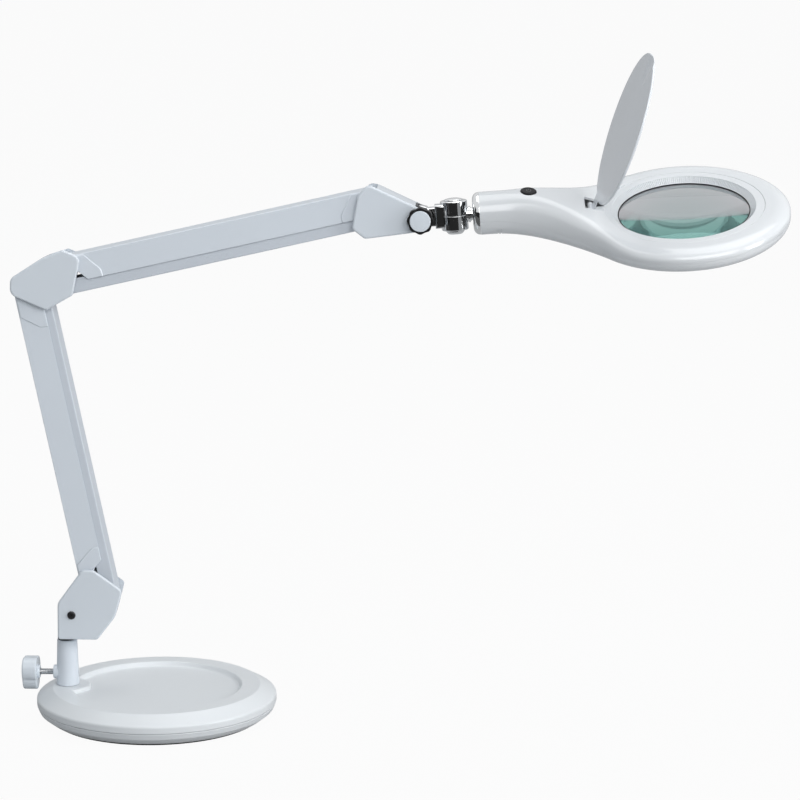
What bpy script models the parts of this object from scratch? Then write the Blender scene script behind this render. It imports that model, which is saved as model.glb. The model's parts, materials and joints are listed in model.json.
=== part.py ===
"""LED magnifying desk lamp: weighted base, balanced two-section arm, chrome swivel joint and ring head.

Metres, +Z up. The origin is the centre of the base's underside. The arm lies in the XZ plane and reaches
towards +X. Each moving group of pieces hangs on an empty that sits on its joint's axis.
"""
import math

import bmesh
import bpy
from mathutils import Matrix, Vector
from mathutils.geometry import convex_hull_2d

# Fits shared by all pieces
GAP = 0.0003
ARC_STEP = math.radians(30)
HULL_POINTS = 12
ROUND_LARGE = 36
ROUND_MEDIUM = 20
ROUND_SMALL = 10
SMOOTH_LIMIT = math.radians(35)
BEVEL_LIMIT = math.radians(40)

# Base
BASE_R = 0.1175
BASE_H = 0.0305
BASE_SLOPE = 0.0158
BASE_LEDGE = 0.0182
BASE_TOP_R = BASE_R - BASE_SLOPE
BASE_RIM_DROP = 0.0086
BASE_SPLIT_DROP = 0.0155
BASE_WALL = 0.0025
RECESS_R = BASE_TOP_R - BASE_LEDGE
RECESS_DEPTH = 0.0045
RECESS_DRAFT = 0.0030
TRAY_FLOOR = 0.0030
TRAY_SETBACK = 0.0025
TRAY_CHAMFER_R = BASE_R - TRAY_SETBACK
TRAY_CHAMFER_Z = 0.0088
TRAY_FOOT_SETBACK = 0.0085
TRAY_FOOT_R = TRAY_CHAMFER_R - TRAY_FOOT_SETBACK
PAD_T = 0.0020
PAD_SETBACK = 0.0035
PAD_R = TRAY_FOOT_R - PAD_SETBACK
WEIGHT_CLEAR = 0.0060
WEIGHT_R = TRAY_FOOT_R - BASE_WALL - WEIGHT_CLEAR
BASE_SCREW_R = 0.0025
BASE_SCREW_HEAD_R = 0.0046
BASE_SCREW_LEN = 0.0140
BASE_SCREW_SETBACK = 0.0380
BASE_SCREW_CIRCLE = WEIGHT_R - BASE_SCREW_SETBACK
BASE_SCREWS = 2

# Post and clamping thumbscrew
POST_SETBACK = 0.0139
POST_X = POST_SETBACK - BASE_TOP_R
POST_FOOT_R = 0.0113
POST_TAPER = 0.0015
POST_TOP_R = POST_FOOT_R - POST_TAPER
POST_LEN = 0.0455
POST_LAND = 0.0112
POST_LAND_R = POST_FOOT_R + POST_LAND
POST_SOLID = 0.0055
POST_BOLT_R = 0.0040
POST_BOLT_HEAD_R = 0.0065
POST_BOLT_HEAD = 0.0055
SPIGOT_R = 0.0050
CLAMP_Z = 0.0120
CLAMP_BOSS_R = 0.0068
CLAMP_BOSS_PROUD = 0.0041
CLAMP_BOSS_REACH = POST_FOOT_R + CLAMP_BOSS_PROUD
STUD_R = 0.0030
STUD_BARE = 0.0118
THUMB_R = 0.0174
THUMB_T = 0.0140
THUMB_LOBE = 0.0028
THUMB_LOBES = 3
THUMB_LOBE_POINTS = 10
THUMB_EDGE = 0.0022
THUMB_HUB_R = 0.0066
THUMB_HUB = 0.0022

# Nested channels of the arm
ARM_HALF = 0.0160
SHEET = 0.0015
LINK_CLEAR = 0.0010
LINK_HALF = ARM_HALF - SHEET - LINK_CLEAR
FRAME_HALF = LINK_HALF - SHEET - LINK_CLEAR
CHANNEL_BACK = 0.0085
CHANNEL_FRONT = 0.0170
CHANNEL_CHAMFER = 0.0300
LINK_BACK = 0.0060
LINK_FRONT = 0.0080
LOWER_LEN = 0.3010
UPPER_LEN = 0.3075
LOWER_ANGLE = math.radians(101.5)
UPPER_ANGLE = math.radians(12.75)
PIVOT_SPACING = 0.0200
LOWER_PIVOT_ANGLE = math.radians(-23.7)
UPPER_PIVOT_ANGLE = math.radians(-85.5)
PIN_R = 0.0030
PIN_PROUD = 0.0015
EYE_WALL = 0.0025
EYE_R = PIN_R + EYE_WALL
SPRING_R = 0.0060
SPRING_WIRE_R = 0.0009
SPRING_MARGIN = 0.0600
SPRING_CURLS = 10
SPRING_CURL_POINTS = 6

# Joint covers, and the screws that hold them
COVER_CLEAR = 0.0030
COVER_WALL = 0.0020
COVER_HALF = ARM_HALF + COVER_CLEAR + COVER_WALL
COVER_EDGE = 0.0014
RIM_STEP = 0.0015
STRAIGHT = 0.0001
BOSS_R = 0.0042
SCREW_R = 0.0020
SCREW_HEAD_R = 0.0041
SCREW_HEAD = 0.0016
SCREW_FACE_SHARE = 0.75
SCREW_SIDE_SHARE = 0.50
WASHER_T = 0.0038
WASHER_SETBACK = 0.0006
WASHER_R = POST_TOP_R - WASHER_SETBACK

# Foot bracket, measured from the post's axis at the cover's underside
LOWER_PIVOT = (0.0257, 0.0495)
LOWER_SCREW = (0.0077, 0.0249)
LOWER_COVER = (
    (-0.0065, 0.0000, 0.0030),
    (-0.0060, 0.0365, 0.0120),
    (0.0183, 0.0698, 0.0070),
    (0.0300, 0.0698, 0.0080),
    (0.0578, 0.0497, 0.0060),
    (0.0503, 0.0230, 0.0200),
    (0.0325, 0.0000, 0.0030),
)
LOWER_RIM_TOP_LEFT = 0.0550
LOWER_RIM_TOP_RIGHT = 0.0340

# Elbow, measured from the lower channel's upper pivot
ELBOW_REACH = (0.0341, 0.0210)
ELBOW_SCREW = (0.0160, 0.0099)
ELBOW_COVER = (
    (-0.0112, -0.0045, 0.0090),
    (-0.0105, 0.0112, 0.0080),
    (0.0191, 0.0302, 0.0300),
    (0.0406, 0.0392, 0.0040),
    (0.0575, 0.0322, 0.0080),
    (0.0495, -0.0047, 0.0040),
    (0.0236, -0.0195, 0.0040),
)
ELBOW_RIM_FROM = 0.0070
ELBOW_RIM_TO = 0.0270

# Front bracket, measured from the upper channel's front pivot
TILT_REACH = (0.0475, -0.0196)
FRONT_SCREW = (0.0235, -0.0160)
FRONT_COVER = (
    (-0.0177, -0.0287, 0.0050),
    (-0.0124, 0.0021, 0.0100),
    (-0.0029, 0.0145, 0.0070),
    (0.0545, -0.0122, 0.0050),
    (0.0550, -0.0302, 0.0060),
    (-0.0054, -0.0381, 0.0040),
)
FRONT_RIM_TOP_SPAN = (0.0030, 0.0280)
FRONT_RIM_FOOT_SPAN = (0.0090, 0.0350)
FORK_R = 0.0110
FORK_CHEEK = 0.0045
FORK_SLOT_HALF = FRAME_HALF - FORK_CHEEK
FORK_SLOT_CLEAR = 0.0011

# Tilt knob
KNOB_R = 0.0127
KNOB_LOBE = 0.0009
KNOB_LOBES = 8
KNOB_LOBE_POINTS = 4
KNOB_T = 0.0095
KNOB_EDGE = 0.0012
KNOB_EDGE_LIMIT = math.radians(60)
KNOB_CAP_SETBACK = 0.0014
KNOB_CAP_R = KNOB_R - KNOB_LOBE - KNOB_CAP_SETBACK
KNOB_CAP_T = 0.0018
TILT_BOLT_R = 0.0040

# Chrome joint, along the head's axis from the tilt axis
HEAD_PITCH = math.radians(4.2)
HEAD_ROLL = math.radians(18.4)
EYE_LINK_R = 0.0114
BAR_R = 0.0112
BAR_START = 0.0135
WEB_SHARE = 0.80
KNUCKLE_U = 0.0318
KNUCKLE_R = 0.0129
KNUCKLE_H = 0.0142
KNUCKLE_BOLT_R = 0.0040
KNUCKLE_HEAD_SETBACK = 0.0041
KNUCKLE_HEAD_R = KNUCKLE_R - KNUCKLE_HEAD_SETBACK
KNUCKLE_HEAD = 0.0020
KNUCKLE_NUT = 0.0036
KNUCKLE_NUT_SHARE = 0.70
KNUCKLE_NUT_FACE_SHARE = 0.75
NECK_LEN = 0.0244
HANDLE_U = KNUCKLE_U + NECK_LEN
NECK_R = 0.0066
NECK_SHOULDER = 0.0006
NECK_SPIGOT_R = NECK_R - NECK_SHOULDER
NUT_WALL = 0.0035
NUT_R = NECK_SPIGOT_R + NUT_WALL
NUT_T = 0.0060
NUT_SIDES = 6

# Lens, its holder and the light ring, heights above the lens's edge
LENS_R = 0.0650
LENS_LIP = 0.0025
LENS_VIEW_R = LENS_R - LENS_LIP
LENS_EDGE = 0.0030
LENS_SAG = 0.0060
LENS_RINGS = 3
BEZEL_FLARE = 0.0035
BEZEL_MOUTH_R = LENS_R + BEZEL_FLARE
BEZEL_BAND = 0.0083
BEZEL_R = BEZEL_MOUTH_R + BEZEL_BAND
BEZEL_WALL = 0.0022
HOLDER_WALL = 0.0024
HOLDER_SETBACK = 0.0008
HOLDER_FLANGE_R = BEZEL_R - HOLDER_SETBACK
DIFFUSER_BAND = 0.0207
DIFFUSER_R = LENS_R + DIFFUSER_BAND
DIFFUSER_T = 0.0022
LED_BOARD_SETBACK = 0.0017
LED_BOARD_R = DIFFUSER_R - LED_BOARD_SETBACK
LED_BOARD_T = 0.0015

# Head: ring, handle and flare seen from above, heights above the lens's edge
RING_BAND = 0.0360
RING_R = LENS_R + RING_BAND
RING_TOP = 0.0065
RING_PART = -0.0035
RING_BOTTOM = -0.0170
RING_ROUND = 0.0160
HANDLE_R = 0.0203
HANDLE_REACH = 0.0925
HEAD_LEN = RING_R + HANDLE_REACH
LENS_DROP = 0.0142
FLARE_R = 0.1300
HEAD_WALL = 0.0024
HEAD_SKIRT = 0.0012
RISE_START = 0.0085
RISE_STOP = 0.0260
RISE_SPAN = (RISE_START - HEAD_LEN, RISE_STOP - RING_R)
TOP_RISE_START = 0.0350
TOP_RISE_STOP = 0.0610
TOP_RISE_SPAN = (TOP_RISE_START - HEAD_LEN, TOP_RISE_STOP - RING_R)
HANDLE_STATIONS = 13
RING_STATIONS = 8
EDGE_STEPS = 3

# Chrome end cap of the handle
CAP_LEN = 0.0075
CAP_ROUND = 0.0063
CAP_NOSE_R = HANDLE_R - CAP_ROUND
CAP_STEPS = 4
CAP_LIP = 0.0050
CAP_LIP_CLEAR = 0.0014

# Screw, driver board and button in the handle
HEAD_SCREW_SETBACK = 0.0030
HEAD_SCREW_X = -(RING_R + HEAD_SCREW_SETBACK)
HEAD_BOSS_R = 0.0040
HEAD_SCREW_R = 0.0015
HEAD_SCREW_HEAD_R = 0.0030
HEAD_SCREW_LEN = 0.0110
DRIVER_START = 0.0215
DRIVER_CLEAR = 0.0100
DRIVER_LEN = HEAD_LEN + HEAD_SCREW_X - HEAD_BOSS_R - DRIVER_CLEAR - DRIVER_START
DRIVER_SETBACK = 0.0083
DRIVER_HALF = HANDLE_R - DRIVER_SETBACK
DRIVER_T = 0.0016
DRIVER_DROP = 0.0102
DRIVER_Z = LENS_DROP - DRIVER_DROP
SWITCH_HALF = 0.0060
RIB_HALF = 0.0050
RIB_T = 0.0020
BUTTON_FROM_END = 0.0475
BUTTON_R = 0.0076
BUTTON_PROUD = 0.0013
BUTTON_CROWN_SHARE = 0.70
BUTTON_CROWN_RISE = 0.80
BUTTON_TRAVEL = 0.0012
BUTTON_FLANGE = 0.0014
BUTTON_LEDGE = 0.0010
BUTTON_STEM = 0.0030
BUTTON_STEM_R = 0.0030

# Flip-up lens cover
HINGE_SETBACK = 0.0117
HINGE_X = -(BEZEL_R + HINGE_SETBACK)
HINGE_RISE = 0.0040
HINGE_Z = RING_TOP + HINGE_RISE
HINGE_PIN_R = 0.0012
BARREL_WALL = 0.0014
BARREL_R = HINGE_PIN_R + BARREL_WALL
BARREL_HALF = 0.0080
LUG_T = 0.0030
COVER_SETBACK = 0.0026
COVER_R = BEZEL_R - COVER_SETBACK
COVER_T = 0.0022
COVER_OPEN = math.radians(67)
STRAP_T = 0.0018
STRAP_LAP = 0.0170
STRAP_STEPS = 5
SCOOP_R = 0.0800
SCOOP_SIDES = 128
SCOOP_LEN = 0.0200
SCOOP_DEPTH_SHARE = 0.65

# Levels and joint centres that follow from the sizes above
POST_FOOT_Z = BASE_H + GAP
POST_TOP_Z = POST_FOOT_Z + POST_LEN
BRACKET_Z = POST_TOP_Z + GAP + WASHER_T + GAP
CLAMP_AXIS_Z = POST_FOOT_Z + CLAMP_Z
SEAT_RISE = RING_TOP - BEZEL_WALL


def step(origin, angle, length):
    """Point at a distance from another, in the XZ plane, at an angle from +X towards +Z."""
    return (origin[0] + length * math.cos(angle), origin[1] + length * math.sin(angle))


def shift(origin, offset):
    """Point moved by an offset, in the XZ plane."""
    return (origin[0] + offset[0], origin[1] + offset[1])


def spread(origin, angle):
    """The second pivot of a pair, one pivot spacing from the first."""
    return step(origin, angle, PIVOT_SPACING)


LOWER_A = shift((POST_X, BRACKET_Z), LOWER_PIVOT)
LOWER_B = step(LOWER_A, LOWER_ANGLE, LOWER_LEN)
UPPER_A = shift(LOWER_B, ELBOW_REACH)
UPPER_B = step(UPPER_A, UPPER_ANGLE, UPPER_LEN)
TILT = shift(UPPER_B, TILT_REACH)
KNUCKLE = step(TILT, HEAD_PITCH, KNUCKLE_U)
HANDLE_END = step(TILT, HEAD_PITCH, HANDLE_U)


# Scene helpers

def clear_scene():
    for obj in list(bpy.data.objects):
        bpy.data.objects.remove(obj, do_unlink=True)


def new_collection(name):
    collection = bpy.data.collections.new(name)
    bpy.context.scene.collection.children.link(collection)
    return collection


def material(name, color, roughness, metallic=0.0, transmission=0.0):
    mat = bpy.data.materials.new(name)
    mat.use_nodes = True
    shader = mat.node_tree.nodes["Principled BSDF"]
    shader.inputs["Base Color"].default_value = (*color, 1.0)
    shader.inputs["Roughness"].default_value = roughness
    shader.inputs["Metallic"].default_value = metallic
    shader.inputs["Transmission Weight"].default_value = transmission
    return mat


def axis_empty(name, point, rotation=(0.0, 0.0, 0.0)):
    """Empty on a joint's axis in the XZ plane, which its pieces hang on."""
    empty = bpy.data.objects.new(name, None)
    empty.location = (point[0], 0.0, point[1])
    empty.rotation_euler = rotation
    PARTS.objects.link(empty)
    return empty


def place(name, data, parent, mat=None):
    """Put a piece in the lamp, or a cutter among the cutters when it has no material."""
    obj = bpy.data.objects.new(name, data)
    obj.parent = parent
    if mat:
        data.materials.append(mat)
        PARTS.objects.link(obj)
    else:
        obj.hide_render = True
        obj.display_type = "WIRE"
        CUTTERS.objects.link(obj)
    return obj


def mesh_from(name, bm):
    bmesh.ops.recalc_face_normals(bm, faces=bm.faces)
    if bm.calc_volume(signed=True) < 0:
        bmesh.ops.reverse_faces(bm, faces=bm.faces)
    mesh = bpy.data.meshes.new(name)
    bm.to_mesh(mesh)
    bm.free()
    mesh.shade_smooth()
    mesh.set_sharp_from_angle(angle=SMOOTH_LIMIT)
    return mesh


def curve_mesh(name, curve, turn):
    """Closed mesh of a curve's solid, moved by a matrix."""
    guide = bpy.data.objects.new(name, curve)
    CUTTERS.objects.link(guide)
    solid = guide.evaluated_get(bpy.context.evaluated_depsgraph_get())
    mesh = bpy.data.meshes.new_from_object(solid)
    bpy.data.objects.remove(guide, do_unlink=True)
    bm = bmesh.new()
    bm.from_mesh(mesh)
    bmesh.ops.remove_doubles(bm, verts=bm.verts, dist=1e-6)
    bm.transform(turn)
    return mesh_from(name, bm)


def combine(obj, other, operation):
    modifier = obj.modifiers.new(other.name, "BOOLEAN")
    modifier.operation = operation
    modifier.object = other
    return obj


def cut(obj, *others):
    for other in others:
        combine(obj, other, "DIFFERENCE")
    return obj


def join(obj, *others):
    for other in others:
        combine(obj, other, "UNION")
    return obj


# Shapes

ORIGIN = (0.0, 0.0, 0.0)
UNTURNED = (0.0, 0.0, 0.0)
ALONG_X = (0.0, math.pi / 2, 0.0)
ALONG_Y = (-math.pi / 2, 0.0, 0.0)
ALONG_Y_BACK = (math.pi / 2, 0.0, 0.0)
UPSIDE_DOWN = (math.pi, 0.0, 0.0)


def rounded(corners):
    """Outline through corners (x, z, radius), with an arc at each."""
    points = []
    for i, (x, z, radius) in enumerate(corners):
        corner = Vector((x, z))
        before = (Vector(corners[i - 1][:2]) - corner).normalized()
        after = (Vector(corners[(i + 1) % len(corners)][:2]) - corner).normalized()
        half = before.angle(after) / 2
        centre = corner + (before + after).normalized() * radius / math.sin(half)
        spoke = corner + before * radius / math.tan(half) - centre
        turn = math.pi - 2 * half
        side = 1 if before.cross(after) < 0 else -1
        count = max(1, math.ceil(turn / ARC_STEP))
        for k in range(count + 1):
            points.append(tuple(centre + Matrix.Rotation(side * turn * k / count, 2) @ spoke))
    return points


def hull(*circles):
    """Outline of a band stretched round circles (x, z, radius)."""
    points = []
    for x, z, radius in circles:
        count = HULL_POINTS if radius else 1
        for k in range(count):
            angle = 2 * math.pi * k / count
            points.append(Vector((x + radius * math.cos(angle), z + radius * math.sin(angle))))
    return [tuple(points[i]) for i in convex_hull_2d(points)]


def outline_mesh(name, outline, low, high, upright=True):
    """Flat outline made thick: in the XZ plane from y=low to high, or lying down from z=low to high."""
    curve = bpy.data.curves.new(name, "CURVE")
    curve.dimensions = "2D"
    curve.fill_mode = "BOTH"
    curve.extrude = (high - low) / 2
    spline = curve.splines.new("POLY")
    spline.points.add(len(outline) - 1)
    spline.use_cyclic_u = True
    for point, (x, z) in zip(spline.points, outline):
        point.co = (x, z, 0.0, 1.0)
    middle = (low + high) / 2
    if upright:
        turn = Matrix.Translation((0.0, middle, 0.0)) @ Matrix.Rotation(math.pi / 2, 4, "X")
    else:
        turn = Matrix.Translation((0.0, 0.0, middle))
    return curve_mesh(name, curve, turn)


def plate(name, parent, mat, outline, low, high, upright=True):
    return place(name, outline_mesh(name, outline, low, high, upright), parent, mat)


def rod(name, parent, mat, start, end, radius, sides=ROUND_SMALL):
    """Round bar from one point to another."""
    start, end = Vector(start), Vector(end)
    along = end - start
    bm = bmesh.new()
    bmesh.ops.create_cone(
        bm,
        cap_ends=True,
        segments=sides,
        radius1=radius,
        radius2=radius,
        depth=along.length,
    )
    turn = along.to_track_quat("Z", "Y").to_matrix().to_4x4()
    bm.transform(Matrix.Translation((start + end) / 2) @ turn)
    return place(name, mesh_from(name, bm), parent, mat)


def cross_rod(name, parent, mat, point, half, radius, sides=ROUND_SMALL):
    """Round bar across the lamp, through a point of the XZ plane."""
    return rod(name, parent, mat, (point[0], -half, point[1]), (point[0], half, point[1]), radius, sides)


def x_rod(name, parent, mat, start, end, radius, sides=ROUND_MEDIUM):
    """Round bar along the X axis of what carries it."""
    return rod(name, parent, mat, (start, 0.0, 0.0), (end, 0.0, 0.0), radius, sides)


def z_rod(name, parent, mat, x, low, high, radius, sides=ROUND_MEDIUM):
    """Round bar along Z, at an X position of what carries it."""
    return rod(name, parent, mat, (x, 0.0, low), (x, 0.0, high), radius, sides)


def block(name, parent, mat, low, high):
    low, high = Vector(low), Vector(high)
    bm = bmesh.new()
    bmesh.ops.create_cube(bm, size=1.0)
    bm.transform(Matrix.Translation((low + high) / 2) @ Matrix.Diagonal((*(high - low), 1.0)))
    return place(name, mesh_from(name, bm), parent, mat)


def turned(name, parent, mat, profile, sides=ROUND_MEDIUM, location=ORIGIN, rotation=UNTURNED):
    """Solid turned about its own Z axis from a profile of (radius, height) points.

    A profile whose ends lie on the axis is left open there, any other profile is a closed loop.
    """
    loop = list(zip(profile, profile[1:] + profile[:1]))
    area = sum(a[0] * b[1] - b[0] * a[1] for a, b in loop)
    points = profile if area < 0 else profile[::-1]
    closed = min(r for r, _ in points) > 0
    bm = bmesh.new()
    verts = [bm.verts.new((r, 0.0, z)) for r, z in points]
    pairs = list(zip(verts, verts[1:]))
    if closed:
        pairs.append((verts[-1], verts[0]))
    for pair in pairs:
        bm.edges.new(pair)
    mesh = bpy.data.meshes.new(name)
    bm.to_mesh(mesh)
    bm.free()
    obj = place(name, mesh, parent, mat)
    obj.location = location
    obj.rotation_euler = rotation
    screw = obj.modifiers.new("turn", "SCREW")
    screw.steps = screw.render_steps = sides
    screw.use_merge_vertices = True
    screw.merge_threshold = 1e-5
    screw.use_smooth_shade = True
    return obj


def lobed(radius, depth, count, points):
    """Round outline with shallow lobes."""
    outline = []
    for k in range(points):
        angle = 2 * math.pi * k / points
        r = radius - depth * (1 - math.cos(count * angle)) / 2
        outline.append((r * math.cos(angle), r * math.sin(angle)))
    return outline


def bevel(obj, width, segments=1, limit=BEVEL_LIMIT):
    modifier = obj.modifiers.new("edges", "BEVEL")
    modifier.width = width
    modifier.segments = segments
    modifier.limit_method = "ANGLE"
    modifier.angle_limit = limit
    return obj


def screw_profile(radius, length, head_radius, head):
    """Pan-head screw, head at the top, shank down to minus its length."""
    return [
        (0.0, head),
        (head_radius * SCREW_FACE_SHARE, head),
        (head_radius, head * SCREW_SIDE_SHARE),
        (head_radius, 0.0),
        (radius, 0.0),
        (radius, -length),
        (0.0, -length),
    ]


# Base

def base_levels():
    rim = BASE_H - BASE_RIM_DROP
    split = BASE_H - BASE_SPLIT_DROP
    floor = BASE_H - RECESS_DEPTH
    return rim, split, floor


def build_base(root):
    rim, split, floor = base_levels()
    under = floor - BASE_WALL
    inner_r = BASE_R - BASE_WALL
    cover = turned("base_cover", root, WHITE, [
        (0.0, floor),
        (RECESS_R - RECESS_DRAFT, floor),
        (RECESS_R, BASE_H),
        (BASE_TOP_R, BASE_H),
        (BASE_R, rim),
        (BASE_R, split),
        (inner_r, split),
        (inner_r, rim - BASE_WALL / 2),
        (BASE_TOP_R - BASE_WALL / 2, BASE_H - BASE_WALL),
        (RECESS_R + BASE_WALL / 2, BASE_H - BASE_WALL),
        (RECESS_R + BASE_WALL / 2 - RECESS_DRAFT, under),
        (0.0, under),
    ], ROUND_LARGE)
    land = []
    for x, y in lobed(POST_LAND_R, 0.0, 1, ROUND_MEDIUM):
        point = Vector((x + POST_X, y))
        reach = min(1.0, (BASE_TOP_R - GAP) / point.length)
        land.append(tuple(point * reach))
    join(cover, plate("base_post_land", root, None, land, floor - BASE_WALL / 2, BASE_H, upright=False))

    tray_low = PAD_T + GAP
    tray_floor = tray_low + TRAY_FLOOR
    tray = turned("base_tray", root, WHITE, [
        (0.0, tray_floor),
        (TRAY_FOOT_R - BASE_WALL, tray_floor),
        (TRAY_CHAMFER_R - BASE_WALL, TRAY_CHAMFER_Z),
        (inner_r, split - GAP),
        (BASE_R, split - GAP),
        (TRAY_CHAMFER_R, TRAY_CHAMFER_Z),
        (TRAY_FOOT_R, tray_low),
        (0.0, tray_low),
    ], ROUND_LARGE)
    turned("base_pad", root, RUBBER, [
        (0.0, PAD_T),
        (PAD_R, PAD_T),
        (PAD_R, 0.0),
        (0.0, 0.0),
    ], ROUND_LARGE)

    weight_low = tray_floor + GAP
    weight_top = under - GAP
    weight = turned("base_weight", root, IRON, [
        (0.0, weight_top),
        (WEIGHT_R, weight_top),
        (WEIGHT_R, weight_low),
        (0.0, weight_low),
    ], ROUND_LARGE)

    head = TRAY_FLOOR / 2
    for k in range(BASE_SCREWS):
        angle = math.pi / 2 + 2 * math.pi * k / BASE_SCREWS
        spot = (BASE_SCREW_CIRCLE * math.cos(angle), BASE_SCREW_CIRCLE * math.sin(angle), tray_low + head)
        turned(f"base_screw_{k + 1}", root, STEEL, screw_profile(
            BASE_SCREW_R, BASE_SCREW_LEN, BASE_SCREW_HEAD_R, head,
        ), ROUND_SMALL, spot, UPSIDE_DOWN)
        bore = turned(f"base_screw_bore_{k + 1}", root, None, screw_profile(
            BASE_SCREW_R + GAP, BASE_SCREW_LEN + GAP, BASE_SCREW_HEAD_R + GAP, head + TRAY_FLOOR,
        ), ROUND_SMALL, (spot[0], spot[1], spot[2] + GAP), UPSIDE_DOWN)
        cut(tray, bore)
        cut(weight, bore)

    bolt_low = weight_low + GAP
    bolt_top = POST_FOOT_Z + POST_SOLID
    bolt_head = bolt_low + POST_BOLT_HEAD
    turned("post_bolt", root, STEEL, [
        (0.0, bolt_top),
        (POST_BOLT_R, bolt_top),
        (POST_BOLT_R, bolt_head),
        (POST_BOLT_HEAD_R, bolt_head),
        (POST_BOLT_HEAD_R, bolt_low),
        (0.0, bolt_low),
    ], ROUND_SMALL, (POST_X, 0.0, 0.0))
    bolt_bore = turned("post_bolt_bore", root, None, [
        (0.0, bolt_top + GAP),
        (POST_BOLT_R + GAP, bolt_top + GAP),
        (POST_BOLT_R + GAP, bolt_head + GAP),
        (POST_BOLT_HEAD_R + GAP, bolt_head + GAP),
        (POST_BOLT_HEAD_R + GAP, 0.0),
        (0.0, 0.0),
    ], ROUND_SMALL, (POST_X, 0.0, 0.0))
    cut(weight, bolt_bore)
    cut(cover, bolt_bore)

    bore_floor = bolt_top + GAP
    post = turned("post", root, PAINT, [
        (POST_BOLT_R + GAP, POST_FOOT_Z),
        (POST_BOLT_R + GAP, bore_floor),
        (SPIGOT_R + GAP, bore_floor),
        (SPIGOT_R + GAP, POST_TOP_Z),
        (POST_TOP_R, POST_TOP_Z),
        (POST_FOOT_R, POST_FOOT_Z),
    ], ROUND_MEDIUM, (POST_X, 0.0, 0.0))
    boss_start = POST_X - (SPIGOT_R + POST_TOP_R) / 2
    boss_end = POST_X - CLAMP_BOSS_REACH
    boss = clamp_rod("post_clamp_boss", root, boss_start, boss_end, CLAMP_BOSS_R, ROUND_MEDIUM)
    bore = clamp_rod("post_clamp_bore", root, POST_X, boss_end - GAP, STUD_R + GAP, ROUND_SMALL)
    join(post, boss)
    cut(post, bore)


def clamp_rod(name, root, start, end, radius, sides):
    """Round bar on the clamping screw's axis, from one X to another."""
    return rod(name, root, None, (start, 0.0, CLAMP_AXIS_Z), (end, 0.0, CLAMP_AXIS_Z), radius, sides)


def build_thumbscrew():
    """Stud along X with its tip against the spigot, and a three-lobed knob on its outer end."""
    axis = axis_empty("thumbscrew_axis", (POST_X, CLAMP_AXIS_Z))
    knob_in = -(CLAMP_BOSS_REACH + STUD_BARE)
    knob_out = knob_in - THUMB_HUB - THUMB_T
    socket = knob_out + THUMB_T / 3
    x_rod("thumbscrew_stud", axis, STEEL, -(SPIGOT_R + GAP), socket + GAP, STUD_R, ROUND_SMALL)
    outline = lobed(THUMB_R, THUMB_LOBE, THUMB_LOBES, THUMB_LOBES * THUMB_LOBE_POINTS)
    knob = plate("thumbscrew_knob", axis, WHITE, outline, 0.0, THUMB_T, upright=False)
    knob.location = (knob_out, 0.0, 0.0)
    knob.rotation_euler = ALONG_X
    bevel(knob, THUMB_EDGE, 2)
    hub_end = knob_out + THUMB_T / 2
    join(knob, x_rod("thumbscrew_hub", axis, None, knob_in, hub_end, THUMB_HUB_R, ROUND_SMALL))
    cut(knob, x_rod("thumbscrew_socket", axis, None, knob_in + GAP, socket, STUD_R + GAP, ROUND_SMALL))


# Joint covers

def fine_outline(outline):
    """The outline with points added along its straight sides."""
    points = []
    for i, point in enumerate(outline):
        start = Vector(point)
        side = Vector(outline[(i + 1) % len(outline)]) - start
        count = max(1, math.ceil(side.length / RIM_STEP))
        points += [tuple(start + side * k / count) for k in range(count)]
    return points


def without_straight_points(outline):
    """The outline without the points that lie on a straight side."""
    kept = []
    for i, point in enumerate(outline):
        here = Vector(point)
        before = (here - Vector(outline[i - 1])).normalized()
        after = (Vector(outline[(i + 1) % len(outline)]) - here).normalized()
        if abs(before.cross(after)) > STRAIGHT:
            kept.append(point)
    return kept


def hollow_outline(outline, has_rim):
    """Outline of a cover's hollow: one wall inside where there is a rim, outside where it is open."""
    outline = fine_outline(outline)
    hollow = []
    for i, (x, z) in enumerate(outline):
        before = Vector(outline[i - 1])
        after = Vector(outline[(i + 1) % len(outline)])
        along = (after - before).normalized()
        outward = Vector((-along.y, along.x))
        offset = -COVER_WALL if has_rim(x, z) else COVER_HALF / 2
        hollow.append(tuple(Vector((x, z)) + outward * offset))
    return without_straight_points(hollow)


def cover_half(name, parent, mat, outline, side, has_rim):
    """Half of a clam-shell cover: a flat cheek with a rim where the arm doesn't swing."""
    seam = side * GAP / 2
    cheek = side * COVER_HALF
    inside = side * (COVER_HALF - COVER_WALL)
    obj = plate(name, parent, mat, outline, *sorted((seam, cheek)))
    bevel(obj, COVER_EDGE)
    hollow = hollow_outline(outline, has_rim)
    beyond = -side * COVER_WALL
    low, high = sorted((beyond, inside))
    return cut(obj, plate(f"{name}_hollow", parent, None, hollow, low, high))


def cover_pair(name, parent, outline, has_rim, screw, screw_side):
    """Both halves of a joint cover, their bosses, and the screw that draws them onto the frame."""
    halves = []
    for label, side in (("near", -1), ("far", 1)):
        half = cover_half(f"{name}_cover_{label}", parent, WHITE, outline, side, has_rim)
        inner = side * (FRAME_HALF + GAP)
        outer = side * (COVER_HALF - COVER_WALL / 2)
        ends = ((screw[0], inner, screw[1]), (screw[0], outer, screw[1]))
        join(half, rod(f"{name}_boss_{label}", parent, None, *ends, BOSS_R))
        halves.append(half)
    tip = -screw_side * (FRAME_HALF + BOSS_R)
    seat = screw_side * (COVER_HALF + GAP)
    turn = ALONG_Y_BACK if screw_side < 0 else ALONG_Y
    profile = screw_profile(SCREW_R, abs(seat - tip), SCREW_HEAD_R, SCREW_HEAD)
    spot = (screw[0], seat, screw[1])
    turned(f"{name}_cover_screw", parent, DARK, profile, ROUND_SMALL, spot, turn)
    end = (screw[0], tip - screw_side * GAP, screw[1])
    bore = rod(f"{name}_screw_bore", parent, None, spot, end, SCREW_R + GAP)
    for half in halves:
        cut(half, bore)
    return halves, bore


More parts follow.
